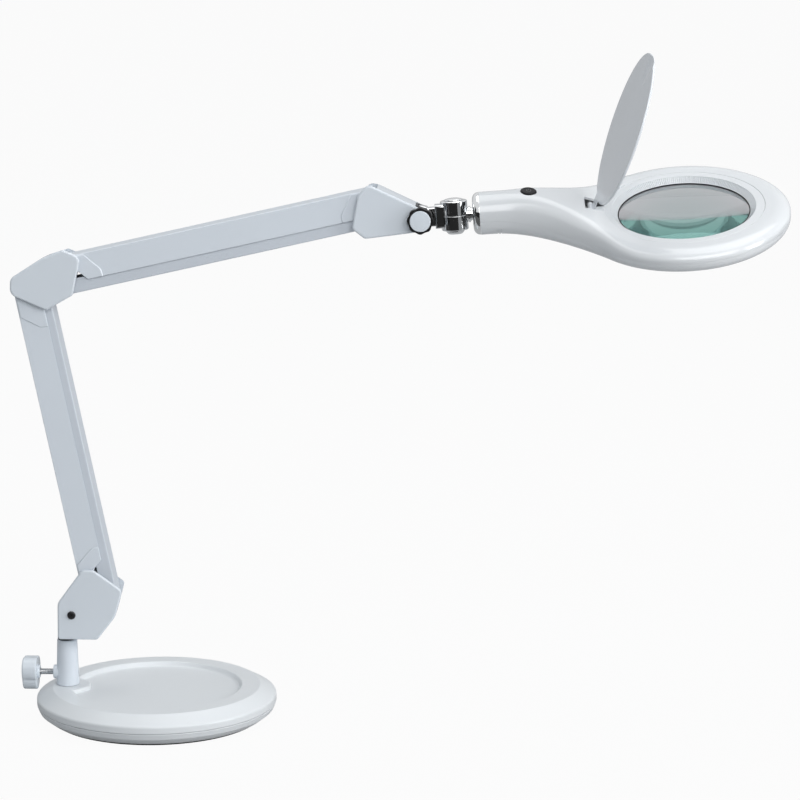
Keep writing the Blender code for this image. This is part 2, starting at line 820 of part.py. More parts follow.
# Channels, springs and frames of the arm

def channel(name, parent, mat, outline, half, web, length):
    """U channel along X: side walls with the outline, and a web between the two pivots."""
    obj = plate(name, parent, mat, outline, -half, half)
    end = GAP
    far = length + CHANNEL_CHAMFER
    deep = math.copysign(CHANNEL_BACK + CHANNEL_FRONT, web)
    hollow = [
        (-CHANNEL_CHAMFER, -deep),
        (far, -deep),
        (far, deep),
        (length - end, deep),
        (length - end, web),
        (end, web),
        (end, deep),
        (-CHANNEL_CHAMFER, deep),
    ]
    cut(obj, plate(f"{name}_hollow", parent, None, hollow, -(half - SHEET), half - SHEET))
    for label, x in (("start", 0.0), ("end", length)):
        cut(obj, cross_rod(f"{name}_bore_{label}", parent, None, (x, 0.0), half + SHEET, PIN_R + GAP))
    return obj


def outer_channel(name, parent, length):
    outline = hull(
        (0.0, 0.0, CHANNEL_BACK),
        (length, 0.0, CHANNEL_BACK),
        (CHANNEL_CHAMFER, -CHANNEL_FRONT, 0.0),
        (length - CHANNEL_CHAMFER, -CHANNEL_FRONT, 0.0),
    )
    return channel(name, parent, PAINT, outline, ARM_HALF, CHANNEL_BACK - SHEET, length)


def inner_channel(name, parent, length):
    middle = (LINK_BACK - LINK_FRONT) / 2
    radius = (LINK_BACK + LINK_FRONT) / 2
    outline = hull((0.0, middle, radius), (length, middle, radius))
    return channel(name, parent, PAINT, outline, LINK_HALF, SHEET - LINK_FRONT, length)


def spring(name, parent, length):
    """Balance spring inside the outer channel, with both ends turned up to hook into its web."""
    hook = CHANNEL_BACK - SHEET - GAP
    start, end = SPRING_MARGIN, length - SPRING_MARGIN
    steps = SPRING_CURLS * SPRING_CURL_POINTS
    route = [(start, 0.0, hook)]
    for k in range(steps + 1):
        angle = 2 * math.pi * k / SPRING_CURL_POINTS
        x = start + (end - start) * k / steps
        z = SPRING_R * math.cos(angle) - SPRING_R / 3
        route.append((x, SPRING_R * math.sin(angle), z))
    route.append((end, 0.0, hook))
    curve = bpy.data.curves.new(name, "CURVE")
    curve.dimensions = "3D"
    curve.bevel_depth = SPRING_WIRE_R
    curve.bevel_resolution = 0
    curve.use_fill_caps = True
    spline = curve.splines.new("POLY")
    spline.points.add(len(route) - 1)
    for point, spot in zip(spline.points, route):
        point.co = (*spot, 1.0)
    return place(name, curve_mesh(name, curve, Matrix()), parent, STEEL)


def pins(parent, frame, names, pivots):
    """Pivot pins through a frame: long ones for outer channels, short ones for inner channels."""
    for name, pivot, outer in zip(names, pivots, (True, False) * 2):
        half = ARM_HALF + PIN_PROUD if outer else ARM_HALF - SHEET - GAP
        cross_rod(name, parent, STEEL, pivot, half, PIN_R)
        cut(frame, cross_rod(f"{name}_bore", parent, None, pivot, half, PIN_R + GAP))


def eye(point, radius=EYE_R):
    return (point[0], point[1], radius)


def frame_arm(name, parent, root, tip):
    """Short arm of a frame, rooted inside the eye of one pivot and ending in an eye round another."""
    half = FRAME_HALF - GAP
    return plate(name, parent, None, hull(eye(root, EYE_R - SHEET), eye(tip)), -half, half)


# Foot bracket

def build_swivel():
    axis = axis_empty("swivel_axis", (POST_X, BRACKET_Z))
    spigot_end = POST_FOOT_Z + POST_SOLID + 2 * GAP - BRACKET_Z
    turned("swivel_washer", axis, BLACK, [
        (SPIGOT_R + GAP, -GAP),
        (WASHER_R, -GAP),
        (WASHER_R, -GAP - WASHER_T),
        (SPIGOT_R + GAP, -GAP - WASHER_T),
    ], ROUND_MEDIUM)

    outer = LOWER_PIVOT
    inner = spread(outer, LOWER_PIVOT_ANGLE)
    foot = COVER_WALL + GAP
    frame = plate("lower_frame", axis, STEEL, hull(
        eye(outer),
        eye(inner),
        (outer[0] - GAP, foot + EYE_R, EYE_R),
    ), -FRAME_HALF, FRAME_HALF)
    join(frame, plate("lower_frame_foot", axis, None, hull(
        (outer[0] - EYE_R, foot + EYE_R + GAP, EYE_R),
        (COVER_WALL, foot + EYE_R + GAP, EYE_R),
        eye(LOWER_SCREW),
    ), -FRAME_HALF + GAP, FRAME_HALF - GAP))
    join(frame, z_rod("lower_frame_spigot", axis, None, 0.0, spigot_end, foot + EYE_R, SPIGOT_R))
    pins(axis, frame, ("lower_pin_outer", "lower_pin_inner"), (outer, inner))

    def has_rim(x, z):
        return z < LOWER_RIM_TOP_LEFT if x < LOWER_PIVOT[0] else z < LOWER_RIM_TOP_RIGHT

    halves, bore = cover_pair("lower", axis, rounded(LOWER_COVER), has_rim, LOWER_SCREW, -1)
    cut(frame, bore)
    hole_top = foot + EYE_R + 2 * GAP
    spigot_hole = z_rod("lower_cover_spigot_hole", axis, None, 0.0, -foot, hole_top, SPIGOT_R + GAP)
    for half in halves:
        cut(half, spigot_hole)


# Elbow

def build_elbow():
    axis = axis_empty("elbow_axis", LOWER_B)
    lower = ((0.0, 0.0), spread((0.0, 0.0), LOWER_PIVOT_ANGLE))
    upper = (ELBOW_REACH, spread(ELBOW_REACH, UPPER_PIVOT_ANGLE))
    frame = plate("elbow_frame", axis, STEEL, hull(eye(lower[0]), eye(upper[0])), -FRAME_HALF, FRAME_HALF)
    join(
        frame,
        frame_arm("elbow_frame_lower", axis, *lower),
        frame_arm("elbow_frame_upper", axis, *upper),
    )
    pins(axis, frame, [f"elbow_pin_{k}" for k in range(1, 5)], lower + upper)

    def has_rim(x, z):
        return z > ELBOW_RIM_FROM and x < ELBOW_RIM_TO

    cut(frame, cover_pair("elbow", axis, rounded(ELBOW_COVER), has_rim, ELBOW_SCREW, 1)[1])


# Front bracket and tilt knob

def build_front():
    axis = axis_empty("front_axis", UPPER_B)
    outer = (0.0, 0.0)
    inner = spread(outer, UPPER_PIVOT_ANGLE)
    frame = plate("front_frame", axis, STEEL, hull(
        eye(outer),
        eye(FRONT_SCREW, BOSS_R + SHEET),
        eye(TILT_REACH, FORK_R),
    ), -FRAME_HALF, FRAME_HALF)
    join(frame, frame_arm("front_frame_drop", axis, outer, inner))
    slot_r = EYE_LINK_R + FORK_SLOT_CLEAR
    cut(frame, cross_rod("front_fork_slot", axis, None, TILT_REACH, FORK_SLOT_HALF, slot_r, ROUND_MEDIUM))
    bore_r = TILT_BOLT_R + GAP
    cut(frame, cross_rod("front_bolt_bore", axis, None, TILT_REACH, COVER_HALF - GAP, bore_r))
    pins(axis, frame, ("front_pin_outer", "front_pin_inner"), (outer, inner))

    def has_rim(x, z):
        first, last = FRONT_RIM_TOP_SPAN if z > FRONT_SCREW[1] else FRONT_RIM_FOOT_SPAN
        return first < x < last

    halves, bore = cover_pair("front", axis, rounded(FRONT_COVER), has_rim, FRONT_SCREW, 1)
    cut(frame, bore)
    outside = (TILT_REACH[0], -COVER_HALF - GAP, TILT_REACH[1])
    inside = (TILT_REACH[0], 0.0, TILT_REACH[1])
    cut(halves[0], rod("front_cover_bolt_hole", axis, None, outside, inside, bore_r))


def build_tilt_knob():
    axis = axis_empty("tilt_knob_axis", TILT)
    face_in = COVER_HALF + GAP
    face_out = face_in + KNOB_T
    socket = face_out - SHEET
    outline = lobed(KNOB_R, KNOB_LOBE, KNOB_LOBES, KNOB_LOBES * KNOB_LOBE_POINTS)
    knob = plate("tilt_knob", axis, BLACK, outline, -face_out, -face_in)
    bevel(knob, KNOB_EDGE, 1, KNOB_EDGE_LIMIT)
    rod("tilt_bolt", axis, STEEL, (0.0, -socket + GAP, 0.0), (0.0, FRAME_HALF, 0.0), TILT_BOLT_R)
    cut(knob, rod("tilt_knob_socket", axis, None, (0.0, -socket, 0.0), (0.0, 0.0, 0.0), TILT_BOLT_R + GAP))
    turned("tilt_knob_cap", axis, WHITE, [
        (0.0, KNOB_CAP_T),
        (KNOB_CAP_R - KNOB_CAP_T / 2, KNOB_CAP_T),
        (KNOB_CAP_R, KNOB_CAP_T / 2),
        (KNOB_CAP_R, 0.0),
        (0.0, 0.0),
    ], ROUND_MEDIUM, (0.0, -face_out - GAP, 0.0), ALONG_Y_BACK)


# Chrome joint

def knuckle_clearance(name, parent, x, low, high):
    return z_rod(name, parent, None, x, low, high, KNUCKLE_R + GAP)


def build_tilt_link():
    """Eye in the fork, round bar and the knuckle's upper half, with the knuckle's bolt and nut."""
    axis = axis_empty("tilt_axis", TILT, (0.0, -HEAD_PITCH, 0.0))
    half = FORK_SLOT_HALF - GAP
    link = cross_rod("tilt_link", axis, CHROME, (0.0, 0.0), half, EYE_LINK_R, ROUND_MEDIUM)
    web = Vector((BAR_START + SHEET, half - GAP, WEB_SHARE * BAR_R))
    bore_r = KNUCKLE_BOLT_R + GAP
    join(
        link,
        block("tilt_link_web", axis, None, (0.0, -web.y, -web.z), web),
        x_rod("tilt_link_bar", axis, None, BAR_START, KNUCKLE_U, BAR_R),
        z_rod("tilt_link_lug", axis, None, KNUCKLE_U, GAP / 2, KNUCKLE_H, KNUCKLE_R),
    )
    cut(
        link,
        knuckle_clearance("tilt_link_clearance", axis, KNUCKLE_U, -2 * KNUCKLE_H, GAP / 2),
        z_rod("tilt_link_bore", axis, None, KNUCKLE_U, -KNUCKLE_H, KNUCKLE_H + SHEET, bore_r, ROUND_SMALL),
        cross_rod("tilt_link_eye_bore", axis, None, (0.0, 0.0), FRAME_HALF, TILT_BOLT_R + GAP),
    )
    head_low = KNUCKLE_H + GAP
    shank_end = -KNUCKLE_H - KNUCKLE_NUT_SHARE * KNUCKLE_NUT
    turned("knuckle_bolt", axis, CHROME, [
        (0.0, head_low + KNUCKLE_HEAD),
        (KNUCKLE_HEAD_R - KNUCKLE_HEAD / 3, head_low + KNUCKLE_HEAD),
        (KNUCKLE_HEAD_R, head_low + KNUCKLE_HEAD / 2),
        (KNUCKLE_HEAD_R, head_low),
        (KNUCKLE_BOLT_R, head_low),
        (KNUCKLE_BOLT_R, shank_end),
        (0.0, shank_end),
    ], ROUND_MEDIUM, (KNUCKLE_U, 0.0, 0.0))
    nut_top = -head_low
    turned("knuckle_nut", axis, CHROME, [
        (KNUCKLE_BOLT_R + GAP, nut_top),
        (KNUCKLE_HEAD_R, nut_top),
        (KNUCKLE_HEAD_R, nut_top - KNUCKLE_NUT / 3),
        (KNUCKLE_HEAD_R * KNUCKLE_NUT_FACE_SHARE, nut_top - KNUCKLE_NUT),
        (KNUCKLE_BOLT_R + GAP, nut_top - KNUCKLE_NUT),
    ], ROUND_MEDIUM, (KNUCKLE_U, 0.0, 0.0))


def build_neck():
    """The knuckle's lower half with a round neck, and the spigot that the head rolls on."""
    axis = axis_empty("neck_axis", KNUCKLE, (0.0, -HEAD_PITCH, 0.0))
    shoulder = NECK_LEN - CAP_LEN - 2 * GAP
    spigot_end = NECK_LEN + NUT_T + 3 * GAP
    bore_r = KNUCKLE_BOLT_R + GAP
    neck = z_rod("neck", axis, CHROME, 0.0, -KNUCKLE_H, -GAP / 2, KNUCKLE_R)
    join(
        neck,
        x_rod("neck_bar", axis, None, 0.0, shoulder, NECK_R),
        x_rod("neck_spigot", axis, None, shoulder - SHEET, spigot_end, NECK_SPIGOT_R),
    )
    cut(
        neck,
        knuckle_clearance("neck_clearance", axis, 0.0, -GAP / 2, 2 * KNUCKLE_H),
        z_rod("neck_bolt_bore", axis, None, 0.0, -KNUCKLE_H - SHEET, KNUCKLE_H, bore_r, ROUND_SMALL),
    )
    nut_low = NECK_LEN + GAP
    nut_high = nut_low + NUT_T
    nut = x_rod("spigot_nut", axis, STEEL, nut_low, nut_high, NUT_R, NUT_SIDES)
    cut(nut, x_rod("spigot_nut_bore", axis, None, nut_low - SHEET, nut_high + SHEET, NECK_SPIGOT_R + GAP))


# Head shells. Positions below are from the centre of the lens, X along the handle away from the arm.

FLARE_Y = HANDLE_R + FLARE_R
FLARE_X = -math.sqrt((RING_R + FLARE_R) ** 2 - FLARE_Y ** 2)
FLARE_END_X = FLARE_X * RING_R / (RING_R + FLARE_R)


def half_width(x):
    """Half width of the head seen from above."""
    if x >= FLARE_END_X:
        return math.sqrt(max(RING_R ** 2 - x ** 2, 0.0))
    if x >= FLARE_X:
        return FLARE_Y - math.sqrt(FLARE_R ** 2 - (x - FLARE_X) ** 2)
    return HANDLE_R


def edge_distance(x, y):
    """Distance from a point inside the head's outline to the outline."""
    y = abs(y)
    if x < FLARE_X:
        return HANDLE_R - y
    if x * FLARE_Y - y * FLARE_X < 0:
        return math.hypot(x - FLARE_X, FLARE_Y - y) - FLARE_R
    return RING_R - math.hypot(x, y)


def blend(ring, handle, x, span=RISE_SPAN):
    """Size that changes smoothly from its value at the handle's end to its value in the ring."""
    t = min(max((x - span[0]) / (span[1] - span[0]), 0.0), 1.0)
    return handle + (ring - handle) * t * t * (3 - 2 * t)


def parting(x):
    return blend(RING_PART, LENS_DROP, x)


def top_height(x):
    return blend(RING_TOP, LENS_DROP + HANDLE_R, x, TOP_RISE_SPAN)


def bottom_height(x):
    return blend(RING_BOTTOM, LENS_DROP - HANDLE_R, x)


def head_height(x, y, side):
    """Height of the head's skin above the lens's edge, on its top (side 1) or underside (side -1)."""
    crown = top_height(x) if side > 0 else bottom_height(x)
    depth = blend(RING_ROUND, HANDLE_R, x)
    t = min(max(edge_distance(x, y) / depth, 0.0), 1.0)
    foot = parting(x) + side * HEAD_SKIRT
    return foot + (crown - foot) * math.sqrt(1 - (1 - t) ** 2)


def head_stations(handle_count, ring_count):
    """X positions of the sections: even along the handle, closing up round the ring's far side."""
    xs = [-HEAD_LEN * (1 - k / handle_count) for k in range(handle_count)]
    return xs + [RING_R * math.sin(math.pi / 2 * k / ring_count) for k in range(ring_count)]


def section_widths(x, edge_count):
    """Y positions across a section, closer together where the edge is round."""
    width = half_width(x)
    depth = min(blend(RING_ROUND, HANDLE_R, x), width)
    edge = [width - depth * (1 - math.cos(math.pi / 2 * k / edge_count)) for k in range(edge_count + 1)]
    if width - depth > HEAD_WALL:
        edge += [(width - depth) / 2, 0.0]
    far_side = edge[::-1]
    if far_side[0] < GAP:
        far_side = far_side[1:]
    return [-y for y in edge] + far_side


def head_half(name, parent, mat, side):
    """Top or bottom half of the head: a skin lofted through cross sections, with a wall inside."""
    bm = bmesh.new()
    rows = []
    for x in head_stations(HANDLE_STATIONS, RING_STATIONS):
        ys = section_widths(x, EDGE_STEPS)
        seam = parting(x) + side * GAP / 2
        row = [(ys[0], seam)] + [(y, head_height(x, y, side)) for y in ys] + [(ys[-1], seam)]
        rows.append([bm.verts.new(head_point(x, y, z)) for y, z in row])
    for a, b in zip(rows, rows[1:]):
        bridge(bm, a, b)
    tip = bm.verts.new(head_point(RING_R, 0.0, parting(RING_R) + side * HEAD_SKIRT))
    foot = bm.verts.new(head_point(RING_R, 0.0, parting(RING_R) + side * GAP / 2))
    last = rows[-1]
    for a, b in zip(last[1:-2], last[2:-1]):
        bm.faces.new((a, b, tip))
    bm.faces.new((last[0], last[1], tip, foot))
    bm.faces.new((last[-2], last[-1], foot, tip))
    bmesh.ops.recalc_face_normals(bm, faces=bm.faces)
    crown = max(bm.faces, key=lambda face: side * face.calc_center_median().z)
    if crown.normal.z * side < 0:
        bmesh.ops.reverse_faces(bm, faces=bm.faces)
    mesh = bpy.data.meshes.new(name)
    bm.to_mesh(mesh)
    bm.free()
    mesh.shade_smooth()
    obj = place(name, mesh, parent, mat)
    shell = obj.modifiers.new("wall", "SOLIDIFY")
    shell.thickness = HEAD_WALL
    shell.offset = -1.0
    return obj


def bridge(bm, a, b):
    """Faces between two neighbouring sections, which may have different numbers of points."""
    if len(a) == len(b):
        for k in range(len(a) - 1):
            bm.faces.new((a[k], a[k + 1], b[k + 1], b[k]))
        return
    i = j = 0
    while i < len(a) - 1 or j < len(b) - 1:
        step_a = (i + 1) / (len(a) - 1) if i < len(a) - 1 else 2.0
        step_b = (j + 1) / (len(b) - 1) if j < len(b) - 1 else 2.0
        if step_a <= step_b:
            bm.faces.new((a[i], a[i + 1], b[j]))
            i += 1
        else:
            bm.faces.new((a[i], b[j + 1], b[j]))
            j += 1


def head_point(x, y, z):
    """From the lens's centre to the head's own axis: the handle's end on its centre line."""
    return Vector((x + HEAD_LEN, y, z - LENS_DROP))


def head_turned(name, parent, mat, profile, sides=ROUND_LARGE):
    return turned(name, parent, mat, profile, sides, head_point(0.0, 0.0, 0.0))


# Head

def build_head():
    axis = axis_empty("head_axis", HANDLE_END, (HEAD_ROLL, -HEAD_PITCH, 0.0))
    top = head_half("head_top_shell", axis, WHITE, 1)
    bottom = head_half("head_bottom_shell", axis, WHITE, -1)
    build_optics(axis, top, bottom)
    build_end_cap(axis)
    build_driver(axis, bottom)
    build_head_screw(axis, top, bottom)
    build_button(axis, top)
    build_lens_cover(axis, top)


def build_optics(axis, top, bottom):
    seat = -LENS_EDGE - GAP
    deep = -4 * RING_TOP
    ends = (head_point(0.0, 0.0, deep), head_point(0.0, 0.0, -deep))
    cut(top, rod("head_top_hole", axis, None, *ends, BEZEL_R + GAP, ROUND_LARGE))
    cut(bottom, rod("head_bottom_hole", axis, None, *ends, DIFFUSER_R + GAP, ROUND_LARGE))
    face = []
    for k in range(LENS_RINGS + 1):
        reach = k / LENS_RINGS
        face.append((LENS_R * reach, LENS_SAG * (1 - reach ** 2)))
    back = [(r, -LENS_EDGE - z) for r, z in face[::-1]]
    head_turned("lens", axis, GLASS, face + back)
    curve = LENS_SAG * (1 - (LENS_VIEW_R / LENS_R) ** 2)
    bore_r = LENS_R + GAP
    tube_r = bore_r + HOLDER_WALL
    tube_low = RING_BOTTOM + DIFFUSER_T + GAP
    flange_low = SEAT_RISE - GAP - HOLDER_WALL
    head_turned("lens_holder", axis, WHITE, [
        (bore_r, 0.0),
        (BEZEL_MOUTH_R + BEZEL_WALL, SEAT_RISE - GAP),
        (HOLDER_FLANGE_R, SEAT_RISE - GAP),
        (HOLDER_FLANGE_R, flange_low),
        (tube_r + HOLDER_WALL, flange_low),
        (tube_r, flange_low - HOLDER_WALL),
        (tube_r, tube_low),
        (bore_r, tube_low),
        (bore_r, seat - HOLDER_WALL),
        (LENS_VIEW_R, seat - HOLDER_WALL),
        (LENS_VIEW_R, seat - curve),
        (bore_r, seat),
    ])
    bezel = head_turned("lens_bezel", axis, WHITE, [
        (LENS_VIEW_R, curve + GAP),
        (BEZEL_MOUTH_R, RING_TOP),
        (BEZEL_R, RING_TOP),
        (BEZEL_R, SEAT_RISE),
        (BEZEL_MOUTH_R + BEZEL_WALL, SEAT_RISE),
        (LENS_R, curve + GAP),
    ])
    build_hinge(axis, bezel)
    led_low = RING_BOTTOM + 2 * DIFFUSER_T
    head_turned("led_board", axis, BOARD, [
        (tube_r + GAP, led_low + LED_BOARD_T),
        (LED_BOARD_R, led_low + LED_BOARD_T),
        (LED_BOARD_R, led_low),
        (tube_r + GAP, led_low),
    ])
    head_turned("diffuser", axis, FROSTED, [
        (bore_r, RING_BOTTOM + DIFFUSER_T),
        (DIFFUSER_R, RING_BOTTOM + DIFFUSER_T),
        (DIFFUSER_R, RING_BOTTOM),
        (bore_r, RING_BOTTOM),
    ])


def build_hinge(axis, bezel):
    """Tongue and two lugs on the bezel, which carry the cover's hinge pin."""
    lug_in = BARREL_HALF + GAP
    lug_out = lug_in + LUG_T
    tongue_top = HINGE_Z - BARREL_R - GAP
    back = HINGE_X - BARREL_R - GAP
    join(bezel, block("hinge_tongue", axis, None, head_point(back, -lug_out, SEAT_RISE + GAP),
                      head_point(-COVER_R - 2 * GAP, lug_out, tongue_top)))
    for label, side in (("near", -1), ("far", 1)):
        ears = sorted((side * lug_in, side * lug_out))
        ear = plate(f"hinge_lug_{label}", axis, None, hull(
            (HINGE_X, HINGE_Z, BARREL_R),
            (HINGE_X, tongue_top - GAP, BARREL_R - GAP),
        ), *ears)
        ear.location = head_point(0.0, 0.0, 0.0)
        join(bezel, ear)
    pin_half = lug_out
    bore = rod("hinge_bore", axis, None, head_point(HINGE_X, -pin_half - GAP, HINGE_Z),
               head_point(HINGE_X, pin_half + GAP, HINGE_Z), HINGE_PIN_R + GAP)
    cut(bezel, bore)
    ends = (head_point(HINGE_X, -pin_half, HINGE_Z), head_point(HINGE_X, pin_half, HINGE_Z))
    rod("hinge_pin", axis, STEEL, *ends, HINGE_PIN_R)


def build_end_cap(axis):
    """Domed chrome cap that closes the handle, with a lip inside the shells and a bore for the spigot."""
    lip_r = HANDLE_R - HEAD_WALL - CAP_LIP_CLEAR
    dome = [(NECK_SPIGOT_R + GAP, -CAP_LEN - GAP), (CAP_NOSE_R, -CAP_LEN - GAP)]
    for k in range(1, CAP_STEPS + 1):
        angle = math.pi / 2 * k / CAP_STEPS
        r = CAP_NOSE_R + (HANDLE_R - CAP_NOSE_R) * math.sin(angle)
        dome.append((r, -GAP - CAP_LEN * math.cos(angle)))
    profile = dome + [
        (lip_r, -GAP),
        (lip_r, CAP_LIP),
        (lip_r - HEAD_WALL, CAP_LIP),
        (lip_r - HEAD_WALL, -GAP),
        (NECK_SPIGOT_R + GAP, -GAP),
    ]
    turned("end_cap", axis, CHROME, profile, ROUND_MEDIUM, (0.0, 0.0, 0.0), ALONG_X)


def button_depth():
    """Depth of the button's stem below the handle's skin: the ledge clears the wall's curved inside."""
    inside = HANDLE_R - HEAD_WALL
    ledge = BUTTON_R + BUTTON_LEDGE
    sag = inside - math.sqrt(inside ** 2 - ledge ** 2)
    return HEAD_WALL + sag + 2 * GAP + BUTTON_FLANGE + BUTTON_STEM


def build_driver(axis, bottom):
    """LED driver board with its switch, on two ribs of the bottom shell."""
    start = DRIVER_START - HEAD_LEN
    board = block("driver_board", axis, BOARD, head_point(start, -DRIVER_HALF, DRIVER_Z),
                  head_point(start + DRIVER_LEN, DRIVER_HALF, DRIVER_Z + DRIVER_T))
    button_x = BUTTON_FROM_END - HEAD_LEN
    switch_top = top_height(button_x) - button_depth() - BUTTON_TRAVEL - BUTTON_STEM / 2
    join(board, block("driver_switch", axis, None,
                      head_point(button_x - SWITCH_HALF, -SWITCH_HALF, DRIVER_Z + DRIVER_T / 2),
                      head_point(button_x + SWITCH_HALF, SWITCH_HALF, switch_top)))
    for label, x in (("rear", start + RIB_T), ("front", start + DRIVER_LEN - 2 * RIB_T)):
        low = bottom_height(x) + HEAD_WALL / 2
        join(bottom, block(f"driver_rib_{label}", axis, None, head_point(x, -RIB_HALF, low),
                           head_point(x + RIB_T, RIB_HALF, DRIVER_Z - GAP)))


def build_head_screw(axis, top, bottom):
    """Screw from below into a boss of the top shell, between the handle and the ring."""
    low = bottom_height(HEAD_SCREW_X)
    boss_end = bottom_height(HEAD_SCREW_X - HEAD_BOSS_R) + HEAD_WALL + 2 * GAP
    seat = low + HEAD_WALL / 2
    join(top, rod("head_boss", axis, None, head_point(HEAD_SCREW_X, 0.0, boss_end),
                  head_point(HEAD_SCREW_X, 0.0, top_height(HEAD_SCREW_X) - HEAD_WALL / 2), HEAD_BOSS_R))
    head = HEAD_WALL / 2 - GAP
    spot = head_point(HEAD_SCREW_X, 0.0, seat - GAP)
    profile = screw_profile(HEAD_SCREW_R, HEAD_SCREW_LEN, HEAD_SCREW_HEAD_R, head)
    turned("head_screw", axis, STEEL, profile, ROUND_SMALL, spot, UPSIDE_DOWN)
    bore = turned("head_screw_bore", axis, None, screw_profile(
        HEAD_SCREW_R + GAP, HEAD_SCREW_LEN + GAP, HEAD_SCREW_HEAD_R + GAP, 2 * HEAD_WALL,
    ), ROUND_SMALL, head_point(HEAD_SCREW_X, 0.0, seat), UPSIDE_DOWN)
    cut(top, bore)
    cut(bottom, bore)


def build_button(axis, top):
    """Domed push button that slides square to the handle's top."""
    x = BUTTON_FROM_END - HEAD_LEN
    slope = math.atan2(top_height(x + GAP) - top_height(x - GAP), 2 * GAP)
    skin = head_point(x, 0.0, top_height(x))
    slide = bpy.data.objects.new("button_axis", None)
    PARTS.objects.link(slide)
    slide.parent = axis
    slide.location = skin
    slide.rotation_euler = (0.0, -slope, 0.0)
    under = -button_depth() + BUTTON_FLANGE + BUTTON_STEM
    turned("power_button", slide, BLACK, [
        (0.0, BUTTON_PROUD),
        (BUTTON_R * BUTTON_CROWN_SHARE, BUTTON_PROUD * BUTTON_CROWN_RISE),
        (BUTTON_R, 0.0),
        (BUTTON_R, under),
        (BUTTON_R + BUTTON_LEDGE, under),
        (BUTTON_R + BUTTON_LEDGE, under - BUTTON_FLANGE),
        (BUTTON_STEM_R, under - BUTTON_FLANGE),
        (BUTTON_STEM_R, -button_depth()),
        (0.0, -button_depth()),
    ], ROUND_MEDIUM)
    deep = 2 * HEAD_WALL
    cut(top, z_rod("button_hole", slide, None, 0.0, -deep, deep, BUTTON_R + GAP))


def build_lens_cover(axis, top):
    """Round cover on a hinge strap, modelled shut and then swung open about the hinge's axis."""
    pocket_half = BARREL_HALF + LUG_T + 3 * GAP
    pocket_back = HINGE_X - 2 * BARREL_R
    deep = 2 * RING_TOP
    cut(top, block("hinge_pocket", axis, None, head_point(pocket_back, -pocket_half, -deep / 2),
                   head_point(-BEZEL_MOUTH_R, pocket_half, 2 * deep)))
    swing = bpy.data.objects.new("cover_axis", None)
    PARTS.objects.link(swing)
    swing.parent = axis
    swing.location = head_point(HINGE_X, 0.0, HINGE_Z)
    swing.rotation_euler = (0.0, -COVER_OPEN, 0.0)
    low = RING_TOP + GAP - HINGE_Z
    high = low + COVER_T
    reach = -HINGE_X
    edge = COVER_T / 3
    disc = turned("lens_cover", swing, WHITE, [
        (0.0, high),
        (COVER_R - edge, high),
        (COVER_R, high - edge),
        (COVER_R, low + edge),
        (COVER_R - edge, low),
        (0.0, low),
    ], ROUND_LARGE, (reach, 0.0, 0.0))
    tip = reach + COVER_R
    scoop_depth = SCOOP_DEPTH_SHARE * COVER_T
    scoop_start = (tip - 2 * SCOOP_LEN, 0.0, high + SCOOP_R + scoop_depth)
    scoop_end = (tip + SCOOP_LEN, 0.0, high + SCOOP_R - 2 * scoop_depth)
    cut(disc, rod("lens_cover_scoop", swing, None, scoop_start, scoop_end, SCOOP_R, SCOOP_SIDES))
    strap_low = high + GAP
    strap_high = strap_low + STRAP_T
    first = math.asin(BARREL_HALF / COVER_R)
    last = math.acos(1 - STRAP_LAP / COVER_R)
    turns = [first + (last - first) * k / STRAP_STEPS for k in range(STRAP_STEPS + 1)]
    flank = [(reach - COVER_R * math.cos(a), COVER_R * math.sin(a)) for a in turns]
    outline = [(-BARREL_R / 2, BARREL_HALF)] + flank
    outline += [(x, -y) for x, y in outline[::-1]]
    strap = plate("cover_hinge_strap", swing, WHITE, outline, strap_low, strap_high, upright=False)
    hinge = (0.0, 0.0)
    join(strap, cross_rod("cover_barrel", swing, None, hinge, BARREL_HALF - GAP, BARREL_R))
    cut(strap, cross_rod("cover_barrel_bore", swing, None, hinge, pocket_half, HINGE_PIN_R + GAP))


clear_scene()
PARTS = new_collection("magnifying_lamp")
CUTTERS = new_collection("cutters")
WHITE = material("white_plastic", (0.80, 0.83, 0.85), 0.35)
PAINT = material("white_paint", (0.78, 0.81, 0.84), 0.40)
IRON = material("cast_iron", (0.12, 0.12, 0.13), 0.70, 1.0)
STEEL = material("steel", (0.55, 0.56, 0.58), 0.35, 1.0)
CHROME = material("chrome", (0.80, 0.81, 0.83), 0.08, 1.0)
BLACK = material("black_plastic", (0.02, 0.02, 0.02), 0.45)
DARK = material("dark_steel", (0.10, 0.10, 0.11), 0.40, 1.0)
RUBBER = material("rubber", (0.05, 0.05, 0.05), 0.80)
GLASS = material("lens_glass", (0.85, 0.95, 0.93), 0.02, 0.0, 1.0)
FROSTED = material("frosted_plastic", (0.92, 0.93, 0.92), 0.60, 0.0, 0.3)
BOARD = material("circuit_board", (0.75, 0.78, 0.76), 0.50)

build_base(axis_empty("base_centre", (0.0, 0.0)))
build_thumbscrew()
build_swivel()
lower_arm = axis_empty("lower_arm_axis", LOWER_A, (0.0, -LOWER_ANGLE, 0.0))
outer_channel("lower_channel", lower_arm, LOWER_LEN)
spring("lower_spring", lower_arm, LOWER_LEN)
lower_bar = axis_empty("lower_link_axis", spread(LOWER_A, LOWER_PIVOT_ANGLE), (0.0, -LOWER_ANGLE, 0.0))
inner_channel("lower_link", lower_bar, LOWER_LEN)
build_elbow()
upper_arm = axis_empty("upper_arm_axis", UPPER_A, (0.0, -UPPER_ANGLE, 0.0))
outer_channel("upper_channel", upper_arm, UPPER_LEN)
spring("upper_spring", upper_arm, UPPER_LEN)
upper_bar = axis_empty("upper_link_axis", spread(UPPER_A, UPPER_PIVOT_ANGLE), (0.0, -UPPER_ANGLE, 0.0))
inner_channel("upper_link", upper_bar, UPPER_LEN)
build_front()
build_tilt_knob()
build_tilt_link()
build_neck()
build_head()
